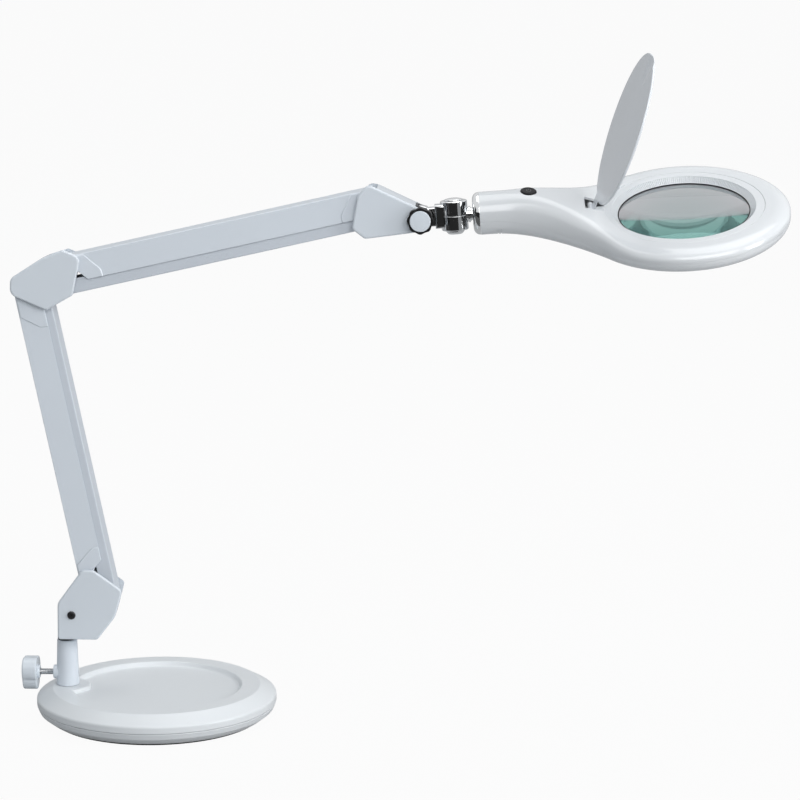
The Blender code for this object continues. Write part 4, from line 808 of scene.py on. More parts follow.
def base_cover():
    under = RECESS_FLOOR - BASE_WALL
    inner = BASE_R - BASE_WALL
    cover = lathe("base_cover_moulding", [
        (0.0, RECESS_FLOOR),
        (RECESS_R - RECESS_DRAFT, RECESS_FLOOR, 0.0035),
        (RECESS_R, BASE_H, 0.0022),
        (BASE_TOP_R, BASE_H, 0.0030),
        (BASE_R, BASE_RIM, 0.0030),
        (BASE_R, BASE_SPLIT + GAP / 2, 0.0005),
        (inner, BASE_SPLIT + GAP / 2),
        (inner, BASE_RIM - BASE_WALL / 2),
        (BASE_TOP_R - BASE_WALL / 2, BASE_H - BASE_WALL),
        (RECESS_R + BASE_WALL / 2, BASE_H - BASE_WALL),
        (RECESS_R + BASE_WALL / 2 - RECESS_DRAFT, under),
        (0.0, under),
    ], FINE)
    outline = []
    for x, y in circle(POST_LAND_R, ROUND, (POST_X, 0.0)):
        point = Vector((x, y))
        outline.append(tuple(point * min(1.0, (BASE_TOP_R - LAND_MARGIN) / point.length)))
    land = slab("land", outline, under + GAP, BASE_H - SEAM, 0.0022, 0.0, lying=True)
    merge(cover, land)
    hole = peg("hole", POST_X, under - BASE_WALL, BASE_H + BASE_WALL, BOLT_R + GAP)
    piece(carve(cover, [hole]), HOME, BASE, "base", "base_cover")


def base_tray():
    low = PAD_T + GAP
    tray = lathe("base_tray_moulding", [
        (0.0, low + TRAY_FLOOR),
        (TRAY_FOOT_R - BASE_WALL, low + TRAY_FLOOR),
        (TRAY_CHAMFER_R - BASE_WALL, TRAY_CHAMFER_Z),
        (BASE_R - BASE_WALL, BASE_SPLIT - GAP),
        (BASE_R, BASE_SPLIT - GAP, 0.0006),
        (TRAY_CHAMFER_R, TRAY_CHAMFER_Z, 0.0020),
        (TRAY_FOOT_R, low, 0.0020),
        (0.0, low),
    ], FINE)
    piece(tray, HOME, BASE, "base", "base_tray")
    pad = [(0.0, PAD_T), (PAD_R, PAD_T, 0.0004), (PAD_R, 0.0, 0.0006)]
    for k in range(PAD_RINGS):
        outer = PAD_R - PAD_RING_FIRST - PAD_RING_STEP * k
        top = outer - PAD_RING_DEEP
        end = top - PAD_RING_FLAT
        pad += [(outer, 0.0), (top, PAD_RING_DEEP), (end, PAD_RING_DEEP), (end - PAD_RING_DEEP, 0.0)]
    pad.append((0.0, 0.0))
    piece(lathe("base_pad_ringed", pad, FINE), HOME, RUBBER, "base", "base_pad")


def post():
    axis = JOINT["thumbscrew_turn"].z - BASE_H - GAP
    tube = lathe("post_tube", [
        (BOLT_R + GAP, 0.0),
        (BOLT_R + GAP, POST_SOLID + GAP),
        (SPIGOT_R + GAP, POST_SOLID + GAP),
        (SPIGOT_R + GAP, POST_LEN),
        (POST_TOP_R, POST_LEN, 0.0008),
        (POST_FOOT_R, 0.0, 0.0006),
    ], ROUND)
    start = -(SPIGOT_R + POST_TOP_R) / 2
    merge(tube, rod("boss", (start, 0.0, axis), (-BOSS_SHOWN, 0.0, axis), BOSS_R, 0.0008, ROUND))
    bore = rod("bore", (0.0, 0.0, axis), (-BOSS_REACH - GAP, 0.0, axis), STUD_R + GAP)
    piece(carve(tube, [bore]), POST, PAINT, "base", "post")


def thumbscrew():
    inner = BOSS_REACH + STUD_BARE
    outer = inner + THUMB_HUB + THUMB_T
    turn = Matrix.Rotation(-math.pi / 2, 4, "Y")
    socket = outer - THUMB_T / 3
    piece(thread("thumbscrew_thread", SPIGOT_R + GAP, socket - GAP, STUD_R, STUD_PITCH, turn),
          THUMB, STEEL, "thumbscrew", "thumbscrew_stud")
    knob = lathe("thumbscrew_grip", [
        (0.0, outer),
        (THUMB_R, outer, 0.0016),
        (THUMB_R, outer - THUMB_T, 0.0012),
        (0.0, outer - THUMB_T),
    ], FINE, HOME, cusps(THUMB_R, THUMB_LOBE, THUMB_LOBES, THUMB_VALLEY))
    hub = lathe("hub", [
        (0.0, inner),
        (THUMB_HUB_R, inner, 0.0008),
        (THUMB_HUB_R, outer - THUMB_T / 2),
        (0.0, outer - THUMB_T / 2),
    ], ROUND)
    merge(knob, hub)
    carve(knob, [peg("socket", 0.0, inner - GAP, socket, STUD_R + GAP)])
    knob.data.transform(turn)
    piece(knob, THUMB, PLASTIC, "thumbscrew", "thumbscrew_knob")


# Joint covers

def fine(outline):
    """The outline with points added along its long straight sides."""
    points = []
    for first, last in zip(outline, outline[1:] + outline[:1]):
        start, side = Vector(first), Vector(last) - Vector(first)
        count = max(1, math.ceil(side.length / RIM_STEP))
        points += [tuple(start + side * k / count) for k in range(count)]
    return points


def hollow(outline, has_rim, draft, low, high):
    """Tool for the hollow of a cover: one wall inside along its rim, well outside where the side is open."""
    open_side = offset(outline, COVER_HALF / 2)
    rings = []
    for level, inset in zip((low, high), draft):
        ring = []
        for spot, inner, outer in zip(outline, offset(outline, -COVER_WALL - inset), open_side):
            x, z = inner if has_rim(*spot) else outer
            ring.append((x, level, z))
        rings.append(ring)
    return loft("hollow", rings)


def cover_pair(name, place, body, corners, has_rim, screw, screw_side, holes, drafts, low_side=None):
    """Both halves of a joint cover with rounded cheeks, and the screw that holds them.

    The drafts set the outline in at the seam and at the far cheek, there by a share that changes round it.
    """
    outline = fine(turned_left(fillet(corners)))
    seam_in, far_in = drafts
    for label, side in (("near", -1), ("far", 1)):
        seam, cheek = side * SEAM, side * COVER_HALF
        edges = (COVER_EDGE, 0.0) if side > 0 else (0.0, COVER_EDGE)
        draft = (0.0, seam_in) if side < 0 else (seam_in, far_in)
        half = slab(f"{name}_shell_{label}", outline, min(seam, cheek), max(seam, cheek), *edges,
                    weight=low_side if side > 0 else None, draft=draft)
        depth = sorted((-side * COVER_WALL, side * (COVER_HALF - COVER_WALL)))
        tools = [hollow(outline, has_rim, draft, *depth)]
        for hole_side, start, end, radius in holes:
            if hole_side in (0, side):
                tools.append(rod("hole", start, end, radius))
        if side == screw_side:
            spots = [(screw[0], side * (COVER_HALF - 2 * COVER_WALL), screw[1]),
                     (screw[0], side * (COVER_HALF + COVER_WALL), screw[1])]
            tools.append(rod("hole", *spots, SCREW_SHANK_R + GAP))
        piece(carve(half, tools), place, PLASTIC, body, f"{name}_cover_{label}")
    seat = Matrix.Translation((screw[0], screw_side * (COVER_HALF + GAP / 3), screw[1]))
    turn = ALONG_Y if screw_side > 0 else ALONG_Y_BACK
    piece(cross_screw(f"{name}_screw"), place @ seat @ turn, DARK, body, f"{name}_cover_screw")


def lower_rim(x, z):
    return z < (LOWER_RIM_BACK_Z if x < LOWER_PIVOT_X else LOWER_RIM_FRONT_Z)


def elbow_rim(x, z):
    return z > ELBOW_RIM_Z and x < ELBOW_RIM_X


def front_rim(x, z):
    first, last = FRONT_RIM_TOP if z > FRONT_SCREW[1] else FRONT_RIM_BOTTOM
    return first < x < last


def sloped(start, end, most):
    """Share of the draft: plain up to a start along X, growing to the most at the end."""
    def share(x, z):
        return 1.0 + (most - 1.0) * min(max((x - start) / (end - start), 0.0), 1.0)
    return share


# Arm

def round_ends(length, radius, middle=0.0):
    """Outline of a bar with half-round ends."""
    outline = []
    for x, first in ((length, -math.pi / 2), (0.0, math.pi / 2)):
        for k in range(END_POINTS + 1):
            angle = first + math.pi * k / END_POINTS
            outline.append((x + radius * math.cos(angle), middle + radius * math.sin(angle)))
    return outline


def bend_share(height):
    """Share of the rounding: whole along the bent back, little along the open edge."""
    return BEND_LEAST + (1 - BEND_LEAST) * min(max(height, 0.0), 1.0)


def bent(shape, half, web, length, pressing=None):
    """Make a bar a bent sheet: thin side walls, a web between the pivots, pin holes and pressings."""
    deep = math.copysign(CHANNEL_BACK + CHANNEL_FRONT, web)
    far = length + CHANNEL_CHAMFER
    notch = [
        (-CHANNEL_CHAMFER, -deep),
        (far, -deep),
        (far, deep),
        (length - GAP, deep),
        (length - GAP, web),
        (GAP, web),
        (GAP, deep),
        (-CHANNEL_CHAMFER, deep),
    ]
    tools = [slab("hollow", notch, -(half - SHEET), half - SHEET)]
    if pressing:
        for wall, draft in ((half, (0.0, -PRESSING_WALL)), (-half, (-PRESSING_WALL, 0.0))):
            tools.append(slab("pressing", pressing, wall - PRESSING, wall + PRESSING, draft=draft))
    for x in (0.0, length):
        tools.append(cross_rod("bore", x, 0.0, half + SHEET, PIN_R + GAP))
    carve(shape, tools)


def outer_channel(section, length, place, cuts, panel_ends):
    """Outer channel with cut-back wall ends and a panel pressed into each wall."""
    start, end = panel_ends
    upper = [point for point in round_ends(length, CHANNEL_BACK) if point[1] > -CHANNEL_BACK * END_KEPT]
    right = [point for point in upper if point[0] > length / 2]
    left = [point for point in upper if point[0] < length / 2]
    front = fillet([
        (CHANNEL_BACK / 2, -CHANNEL_BACK * END_LEAD),
        (cuts[0] - NOTCH_SLANT, NOTCH_Z, 0.003),
        (cuts[0], -CHANNEL_FRONT, 0.0014),
        (length - cuts[1], -CHANNEL_FRONT, 0.0014),
        (length - cuts[1] + NOTCH_SLANT, NOTCH_Z, 0.003),
        (length - CHANNEL_BACK / 2, -CHANNEL_BACK * END_LEAD),
    ], False)
    outline = right + left + front[1:-1]
    pressing = fillet([
        (start, PRESSING_BOTTOM, 0.0003),
        (length - end, PRESSING_BOTTOM, 0.0003),
        (length - end, PRESSING_BEND, 0.0060),
        (length - end + PRESSING_SLANT, PRESSING_TOP, 0.0020),
        (start - PRESSING_SLANT, PRESSING_TOP, 0.0020),
        (start, PRESSING_BEND, 0.0060),
    ])

    def weight(x, z):
        return bend_share(z / CHANNEL_BACK)

    shape = slab(f"{section}_channel_bent", outline, -ARM_HALF, ARM_HALF, CHANNEL_BEND, weight=weight)
    bent(shape, ARM_HALF, CHANNEL_BACK - SHEET, length, pressing)
    piece(shape, place, PAINT, f"{section}_arm", f"{section}_channel")


def inner_channel(section, length, place):
    middle = (LINK_BACK - LINK_FRONT) / 2
    radius = (LINK_BACK + LINK_FRONT) / 2

    def weight(x, z):
        return bend_share((middle - z) / radius)

    outline = round_ends(length, radius, middle)
    shape = slab(f"{section}_link_bent", outline, -LINK_HALF, LINK_HALF, LINK_BEND, weight=weight)
    bent(shape, LINK_HALF, SHEET - LINK_FRONT, length)
    piece(shape, place, LINK_SHADED_PAINT, f"{section}_link", f"{section}_link")


def spring(section, length, place):
    """Close-wound balance spring with both ends hooked into the channel's web."""
    name = f"{section}_spring_wound"
    hook = CHANNEL_BACK - SHEET - GAP
    start, end = SPRING_MARGIN, length - SPRING_MARGIN
    count = SPRING_CURLS * CURL_POINTS
    route = [(start - 2 * HOOK_STEP, 0.0, hook), (start - HOOK_STEP, 0.0, SPRING_R * HOOK_RISE)]
    for k in range(count + 1):
        angle = 2 * math.pi * k / CURL_POINTS
        spot = (start + (end - start) * k / count, SPRING_R * math.sin(angle),
                SPRING_R * math.cos(angle) - SPRING_R / 3)
        route.append(spot)
    route += [(end + HOOK_STEP, 0.0, SPRING_R * HOOK_RISE), (end + 2 * HOOK_STEP, 0.0, hook)]
    curve = bpy.data.curves.new(name, "CURVE")
    curve.dimensions = "3D"
    curve.bevel_depth = SPRING_WIRE
    curve.bevel_resolution = 2
    curve.use_fill_caps = True
    line = curve.splines.new("POLY")
    line.points.add(len(route) - 1)
    for point, spot in zip(line.points, route):
        point.co = (*spot, 1.0)
    guide = linked(name, curve)
    mesh = bpy.data.meshes.new_from_object(guide.evaluated_get(bpy.context.evaluated_depsgraph_get()))
    bpy.data.objects.remove(guide, do_unlink=True)
    bm = bmesh.new()
    bm.from_mesh(mesh)
    piece(solid(name, bm), place, STEEL, f"{section}_arm", f"{section}_spring")


# Tilt knob and chrome joint

def tilt_knob():
    inner = COVER_HALF + GAP
    outer = inner + KNOB_T
    knob = lathe("tilt_knob_grip", [
        (0.0, outer),
        (KNOB_R, outer, 0.0006),
        (KNOB_R, inner, 0.0006),
        (0.0, inner),
    ], FINE, HOME, lobes(KNOB_R, KNOB_LOBE, KNOB_LOBES))
    carve(knob, [peg("socket", 0.0, 0.0, outer - SHEET, BOLT_R + GAP)])
    knob.data.transform(ALONG_Y_BACK)
    piece(knob, KNOB, BLACK, "tilt_knob", "tilt_knob")
    low = outer + GAP / 3
    cap = lathe("tilt_knob_cap_domed", [
        *domed(KNOB_CAP_DOME, KNOB_CAP_R, low, KNOB_CAP_T),
        (KNOB_CAP_R, low, 0.0002),
        (0.0, low),
    ], ROUND, ALONG_Y_BACK)
    piece(cap, KNOB, PLASTIC, "tilt_knob", "tilt_knob_cap")


def knuckle_half(name, side, x=0.0):
    return lathe(name, [
        (0.0, side * KNUCKLE_H),
        (KNUCKLE_R, side * KNUCKLE_H, 0.0012),
        (KNUCKLE_R, side * GAP / 2, 0.0004),
        (0.0, side * GAP / 2),
    ], ROUND, Matrix.Translation((x, 0.0, 0.0)))


def tilt_link():
    link = cross_rod("tilt_link_forging", 0.0, 0.0, EYE_HALF, EYE_R, 0.0012, ROUND)
    web_y = EYE_HALF - GAP
    web = slab("web", rectangle(0.0, BAR_START + WEB_LAP, WEB_HALF), -web_y, web_y, 0.0010)
    bar = slab("bar", rectangle(BAR_START, KNUCKLE_U, BAR_R), -BAR_FLAT, BAR_FLAT, 0.0022)
    merge(link, web, bar, knuckle_half("lug", 1, KNUCKLE_U))
    below = peg("below", KNUCKLE_U, -2 * KNUCKLE_H, GAP / 2, KNUCKLE_R + GAP, 0.0, ROUND)
    bore = peg("bore", KNUCKLE_U, -KNUCKLE_H, 2 * KNUCKLE_H, BOLT_R + GAP)
    eye = cross_rod("eye", 0.0, 0.0, 2 * EYE_HALF, BOLT_R + GAP)
    piece(carve(link, [below, bore, eye]), TILT, CHROME, "tilt_link", "tilt_link")
    low = KNUCKLE_H + GAP / 3
    bolt = lathe("knuckle_bolt_domed", [
        *domed(KNUCKLE_DOME, KNUCKLE_HEAD_R, low, KNUCKLE_HEAD),
        (KNUCKLE_HEAD_R, low, 0.0002),
        (BOLT_R, low),
        (BOLT_R, -KNUCKLE_H - 0.7 * KNUCKLE_NUT),
        (0.0, -KNUCKLE_H - 0.7 * KNUCKLE_NUT),
    ], ROUND)
    place = TILT @ Matrix.Translation((KNUCKLE_U, 0.0, 0.0))
    piece(bolt, place, CHROME, "tilt_link", "knuckle_bolt")
    nut = lathe("knuckle_nut_domed", [
        (BOLT_R + GAP, -low),
        (KNUCKLE_HEAD_R, -low, 0.0002),
        (KNUCKLE_HEAD_R, -low - KNUCKLE_NUT / 3, 0.0008),
        (KNUCKLE_HEAD_R * 0.75, -low - KNUCKLE_NUT, 0.0012),
        (BOLT_R + GAP, -low - KNUCKLE_NUT, 0.0003),
    ], ROUND)
    piece(nut, place, CHROME, "tilt_link", "knuckle_nut")


def neck():
    lug = knuckle_half("neck_forging", -1)
    shoulder = NECK_LEN - CAP_LEN - 2 * GAP
    bars = []
    for start, end, radius, edge in (
        (0.0, shoulder, NECK_R, 0.0004),
        (shoulder - COLLAR_BACK, shoulder - COLLAR_FRONT, COLLAR_R, 0.0005),
        (shoulder - SPIGOT_LAP, NECK_LEN + SPIGOT_PAST, NECK_SPIGOT_R, 0.0004),
    ):
        bars.append(rod("bar", (start, 0.0, 0.0), (end, 0.0, 0.0), radius, edge, ROUND))
    merge(lug, *bars)
    above = peg("above", 0.0, -GAP / 2, 2 * KNUCKLE_H, KNUCKLE_R + GAP, 0.0, ROUND)
    bore = peg("bore", 0.0, -2 * KNUCKLE_H, KNUCKLE_H, BOLT_R + GAP)
    piece(carve(lug, [above, bore]), NECK, CHROME, "neck", "neck")


def end_cap():
    lip = HANDLE_R - HEAD_WALL - CAP_LIP_CLEAR
    corners = [(NECK_SPIGOT_R + GAP, -CAP_SHOWN - GAP), (CAP_NOSE_R, -CAP_SHOWN - GAP)]
    for k in range(1, CAP_POINTS + 1):
        angle = math.pi / 2 * k / CAP_POINTS
        reach = CAP_NOSE_R + (HANDLE_R - CAP_NOSE_R) * math.sin(angle)
        corners.append((reach, -GAP - CAP_SHOWN * math.cos(angle)))
    corners += [
        (lip, -GAP),
        (lip, CAP_LIP),
        (lip - HEAD_WALL, CAP_LIP),
        (lip - HEAD_WALL, -GAP),
        (NECK_SPIGOT_R + GAP, -GAP),
    ]
    piece(lathe("end_cap_polished", corners, FINE, ALONG_X), HEAD, CHROME, "head", "end_cap")


# Head shells. Positions are from the centre of the lens, X along the handle away from the arm.

FLARE_Y = HANDLE_R + FLARE_R
FLARE_X = -math.sqrt((RING_R + FLARE_R) ** 2 - FLARE_Y ** 2)
FLARE_END_X = FLARE_X * RING_R / (RING_R + FLARE_R)


def half_width(x):
    if x >= FLARE_END_X:
        return math.sqrt(max(RING_R ** 2 - x ** 2, 0.0))
    if x >= FLARE_X:
        return FLARE_Y - math.sqrt(FLARE_R ** 2 - (x - FLARE_X) ** 2)
    return HANDLE_R


def edge_distance(x, y):
    y = abs(y)
    if x < FLARE_X:
        return HANDLE_R - y
    if x * FLARE_Y - y * FLARE_X < 0:
        return math.hypot(x - FLARE_X, FLARE_Y - y) - FLARE_R
    return RING_R - math.hypot(x, y)


def ease(ring, handle, x, span=RISE_SPAN):
    t = min(max((x - span[0]) / (span[1] - span[0]), 0.0), 1.0)
    return handle + (ring - handle) * t * t * (3 - 2 * t)


def parting(x):
    return ease(RING_PART, LENS_DROP, x)


def top_height(x):
    return ease(RING_TOP, LENS_DROP + HANDLE_R, x, TOP_RISE_SPAN)


def bottom_height(x):
    return ease(RING_BOTTOM, LENS_DROP - HANDLE_R, x)


def skin(x, y, side):
    crown = top_height(x) if side > 0 else bottom_height(x)
    t = min(max(edge_distance(x, y) / ease(RING_ROUND, HANDLE_R, x), 0.0), 1.0)
    foot = parting(x) + side * HEAD_SKIRT
    return foot + (crown - foot) * math.sqrt(1 - (1 - t) ** 2)


def widths(x):
    """Half of the Y positions across a section, from the edge to the middle."""
    width = half_width(x)
    depth = min(ease(RING_ROUND, HANDLE_R, x), width)
    turns = [math.pi / 2 * k / EDGE_COLUMNS for k in range(EDGE_COLUMNS + 1)]
    ys = [width - depth * (1 - math.cos(a)) for a in turns]
    flat = width - depth
    return ys + [flat * (1 - k / FLAT_COLUMNS) for k in range(1, FLAT_COLUMNS + 1)]


def head_shell(name, side):
    """Top or bottom moulding of the head as a thick skin."""
    xs = [-HEAD_LEN * (1 - k / HANDLE_ROWS) for k in range(HANDLE_ROWS)]
    xs += [RING_R * math.sin(math.pi / 2 * k / RING_ROWS) for k in range(RING_ROWS + 1)]
    outer = []
    bm = bmesh.new()
    for x in xs:
        half = widths(min(x, RING_R - NEAR))
        ys = [-y for y in half] + half[-2::-1]
        seam = parting(x) + side * SEAM
        row = [(ys[0], seam)] + [(y, skin(x, y, side)) for y in ys] + [(ys[-1], seam)]
        outer.append([bm.verts.new((x, y, z)) for y, z in row])
    for a, b in zip(outer, outer[1:]):
        for k in range(len(a) - 1):
            bm.faces.new((a[k], a[k + 1], b[k + 1], b[k]))
    bmesh.ops.remove_doubles(bm, verts=bm.verts, dist=2 * NEAR)
    bmesh.ops.dissolve_degenerate(bm, edges=bm.edges, dist=NEAR)
    bmesh.ops.recalc_face_normals(bm, faces=bm.faces)
    crown = max(bm.faces, key=lambda face: side * face.calc_center_median().z)
    if crown.normal.z * side < 0:
        bmesh.ops.reverse_faces(bm, faces=bm.faces)
    obj = unpacked(name, bm)
    wall = obj.modifiers.new("wall", "SOLIDIFY")
    wall.thickness = HEAD_WALL
    wall.offset = -1.0
    return applied(obj)


def button_place():
    x = BUTTON_FROM_END - HEAD_LEN
    slope = math.atan2(top_height(x + GAP) - top_height(x - GAP), 2 * GAP)
    return Matrix.Translation((x, 0.0, top_height(x))) @ Matrix.Rotation(-slope, 4, "Y")


def groove(x):
    """Tool for a fine groove across the underside of the handle."""
    outline = band(HANDLE_R, GROOVE, math.pi + GROOVE_START, math.pi - 2 * GROOVE_START, GROOVE_POINTS,
                   (0.0, LENS_DROP))
    tool = slab("groove", outline, x, x + GROOVE, lying=True)
    tool.data.transform(Matrix(((0, 0, 1, 0), (1, 0, 0, 0), (0, 1, 0, 0), (0, 0, 0, 1))))
    return tool


def head():
    deep = 4 * RING_TOP
    top = head_shell("head_top_moulding", 1)
    pocket_half = BARREL_HALF + LUG_T + 3 * GAP
    pocket = slab("pocket", rectangle(HINGE_X - 2 * BARREL_R, -BEZEL_MOUTH_R, pocket_half), -RING_TOP, deep,
                  lying=True)
    button = peg("button", 0.0, -2 * HEAD_WALL, 2 * HEAD_WALL, BUTTON_R + GAP, 0.0, ROUND)
    button.data.transform(button_place())
    hole = peg("hole", 0.0, -deep, deep, BEZEL_R + GAP, 0.0, FINE)
    piece(carve(top, [hole, pocket, button]), LENS, SHELL, "head", "head_top_shell")
    bottom = head_shell("head_bottom_moulding", -1)
    tools = [peg("hole", 0.0, -deep, deep, DIFFUSER_R + GAP, 0.0, FINE)]
    tools.append(peg("screw", HEAD_SCREW_X, -deep, deep, HEAD_SCREW_HOLE_R))
    tools += [groove(GROOVE_FROM_END + GROOVE_STEP * k - HEAD_LEN) for k in range(GROOVE_COUNT)]
    piece(carve(bottom, tools), LENS, SHELL, "head", "head_bottom_shell")


def lens():
    corners = []
    for k in range(LENS_RINGS + 1):
        r = LENS_R * k / LENS_RINGS
        corners.append((r, LENS_SAG * (1 - (r / LENS_R) ** 2)))
    corners += [(r, -LENS_EDGE - z) for r, z in corners[::-1]]
    piece(lathe("lens_polished", corners, FINEST), LENS, GLASS, "head", "lens")


def lens_holder():
    seat = -LENS_EDGE - GAP
    outer = LENS_BORE + HOLDER_WALL
    high = BEZEL_LOW - GAP
    flange = high - HOLDER_WALL
    low = RING_BOTTOM + DIFFUSER_T + GAP
    holder = lathe("lens_holder_moulding", [
        (LENS_BORE, 0.0),
        (BEZEL_MOUTH_R + BEZEL_WALL, high),
        (HOLDER_FLANGE_R, high, 0.0004),
        (HOLDER_FLANGE_R, flange, 0.0004),
        (outer + HOLDER_WALL, flange, 0.0010),
        (outer, flange - HOLDER_WALL, 0.0010),
        (outer, low, 0.0004),
        (LENS_BORE, low, 0.0004),
        (LENS_BORE, seat - HOLDER_WALL),
        (LENS_VIEW_R, seat - HOLDER_WALL, 0.0006),
        (LENS_VIEW_R, seat - LENS_CURVE),
        (LENS_BORE, seat),
    ], FINE)
    piece(holder, LENS, SHELL, "head", "lens_holder")


def ribs(r, z, angle):
    """Wave that cuts the ribs into the sloped wall round the lens."""
    if r > BEZEL_MOUTH_R + RIB_REACH or not RIB_LOW < z < RIB_TOP:
        return r
    return r + RIB_H if math.cos(BEZEL_RIBS * angle) > RIB_SHARE else r


def lens_bezel():
    """Ribbed ring round the lens, with the two ears that hold the cover's hinge pin."""
    wall = []
    for k in range(BEZEL_ROWS):
        t = k / BEZEL_ROWS
        reach = LENS_VIEW_R + (BEZEL_MOUTH_R - LENS_VIEW_R) * t
        wall.append((reach, BEZEL_FOOT + (RING_TOP - BEZEL_FOOT) * t))
    bezel = lathe("lens_bezel_ribbed", wall + [
        (BEZEL_MOUTH_R, RING_TOP, 0.0006),
        (BEZEL_R, RING_TOP, 0.0005),
        (BEZEL_R, BEZEL_LOW),
        (BEZEL_MOUTH_R + BEZEL_WALL, BEZEL_LOW),
        (LENS_R, BEZEL_FOOT),
    ], BEZEL_RIBS * RIB_POINTS, HOME, ribs)
    lug_in = BARREL_HALF + GAP
    lug_out = lug_in + LUG_T
    tongue_top = HINGE_Z - BARREL_R - GAP
    back, front = HINGE_X - BARREL_R - GAP, -COVER_R - 2 * GAP
    parts = [slab("tongue", fillet([
        (back, -lug_out, 0.001),
        (front, -lug_out),
        (front, lug_out),
        (back, lug_out, 0.001),
    ]), BEZEL_LOW + GAP, tongue_top, 0.0006, 0.0, lying=True)]
    turns = [math.pi * k / EAR_POINTS for k in range(EAR_POINTS + 1)]
    ear = [(HINGE_X + BARREL_R, tongue_top - BARREL_R)]
    ear += [(HINGE_X + BARREL_R * math.cos(a), HINGE_Z + BARREL_R * math.sin(a)) for a in turns]
    ear.append((HINGE_X - BARREL_R, tongue_top - BARREL_R))
    for side in (-1, 1):
        parts.append(slab("ear", ear, *sorted((side * lug_in, side * lug_out)), 0.0004))
    merge(bezel, *parts)
    pin = cross_rod("pin", HINGE_X, HINGE_Z, lug_out + GAP, PIN_HINGE_R + GAP)
    piece(carve(bezel, [pin]), LENS, SHELL, "head", "lens_bezel")


# Thin black ring at the rim of the lens, painted shade for the dark line round it
def lens_rim_painted_shade():
    rim_shade = lathe("lens_rim_painted_shade", [
        (RIM_SHADE_IN_R, RIM_SHADE_LOW, 0.0001),
        (RIM_SHADE_IN_R, RIM_SHADE_HIGH, 0.0001),
        (RIM_SHADE_OUT_R, RIM_SHADE_HIGH, 0.0001),
        (RIM_SHADE_OUT_R, RIM_SHADE_LOW, 0.0001),
    ], FINE)
    piece(rim_shade, LENS, BLACK, "head")


def diffuser():
    """Light ring below the lens, with fine ridges on its underside."""
    top = RING_BOTTOM + DIFFUSER_T
    ridges = [(LENS_BORE, top), (DIFFUSER_R, top), (DIFFUSER_R, RING_BOTTOM, 0.0004)]
    width = (DIFFUSER_R - LENS_BORE - 2 * RIDGE_MARGIN) / RIDGES
    for k in range(RIDGES):
        outer = DIFFUSER_R - RIDGE_MARGIN - width * k
        ridges += [(outer, RING_BOTTOM), (outer - width / 2, RING_BOTTOM + RIDGE_H)]
    ridges += [(LENS_BORE + RIDGE_MARGIN, RING_BOTTOM), (LENS_BORE, RING_BOTTOM, 0.0003)]
    piece(lathe("diffuser_ridged", ridges, FINE), LENS, DIFFUSER, "head", "diffuser")


def power_button():
    inside = HANDLE_R - HEAD_WALL
    ledge = BUTTON_R + LEDGE
    under = -(HEAD_WALL + inside - math.sqrt(inside ** 2 - ledge ** 2) + 2 * GAP)
    depth = under - LEDGE_T - STEM_LEN
    button = lathe("power_button_dished", [
        *domed(BUTTON_DISH, BUTTON_R, 0.0, BUTTON_PROUD),
        (BUTTON_R, under),
        (ledge, under),
        (ledge, under - LEDGE_T),
        (STEM_R, under - LEDGE_T),
        (STEM_R, depth),
        (0.0, depth),
    ], ROUND)
    place = LENS @ button_place()
    piece(button, place, BUTTON, "power_button", "power_button")
    span = (MARK_LEVEL - MARK_SUNK, MARK_LEVEL + MARK_PROUD)
    outline = band(MARK_R, MARK_LINE, MARK_START, MARK_SWEEP, MARK_POINTS)
    mark = slab("power_mark", outline, *span, lying=True)
    bar = slab("bar", rectangle(*MARK_BAR, MARK_LINE), *span, lying=True)
    bar.data.transform(Matrix.Rotation(math.pi / 2, 4, "Z"))
    merge(mark, bar)
    piece(mark, place, MARK, "power_button")


def lens_cover():
    low = RING_TOP + GAP - HINGE_Z
    high = low + COVER_T
    reach = -HINGE_X
    disc = lathe("lens_cover_lid", [
        (0.0, high + LID_CROWN),
        (COVER_R * 0.6, high + LID_CROWN * 0.75),
        (COVER_R, high, 0.0008),
        (COVER_R, low, 0.0006),
        (COVER_R - LID_LIP, low, 0.0003),
        (COVER_R - LID_LIP - LID_DISH, low + LID_DISH, 0.0003),
        (0.0, low + LID_DISH),
    ], FINE, Matrix.Translation((reach, 0.0, 0.0)))
    tip = reach + COVER_R
    scoop = rod("scoop", (tip - 2 * SCOOP_LEN, 0.0, high + SCOOP_R + SCOOP_DEPTH),
                (tip + SCOOP_LEN, 0.0, high + SCOOP_R - 2 * SCOOP_DEPTH), SCOOP_R, 0.0, FINEST)
    strap_low = high - STRAP_SHOWN
    first = math.asin(BARREL_HALF / COVER_R)
    last = math.acos(1 - STRAP_LAP / COVER_R)
    turns = [first + (last - first) * k / STRAP_POINTS for k in range(STRAP_POINTS + 1)]
    flank = [(reach - COVER_R * math.cos(a), COVER_R * math.sin(a)) for a in turns]
    outline = [(-BARREL_R / 2, BARREL_HALF)] + flank
    outline += [(x, -y) for x, y in outline[::-1]]
    wider = [tuple(point) for point in offset(turned_left(outline), SEAM)]
    bed = slab("bed", wider, strap_low - SEAM, 2 * STRAP_T, lying=True)
    piece(carve(disc, [scoop, bed]), COVER, LID, "lens_cover", "lens_cover")
    strap = slab("cover_hinge_leaf", outline, strap_low, high, 0.0002, 0.0, lying=True)
    merge(strap, cross_rod("barrel", 0.0, 0.0, BARREL_HALF - GAP, BARREL_R, 0.0003))
    bore = cross_rod("bore", 0.0, 0.0, 2 * BARREL_HALF, PIN_HINGE_R + GAP)
    piece(carve(strap, [bore]), COVER, LID, "lens_cover", "cover_hinge_strap")


# Stage, light and camera

def panel(name, corners):
    """Flat sheet with four corners."""
    mesh = bpy.data.meshes.new(name)
    mesh.from_pydata(corners, [], [(0, 1, 2, 3)])
    return linked(name, mesh)


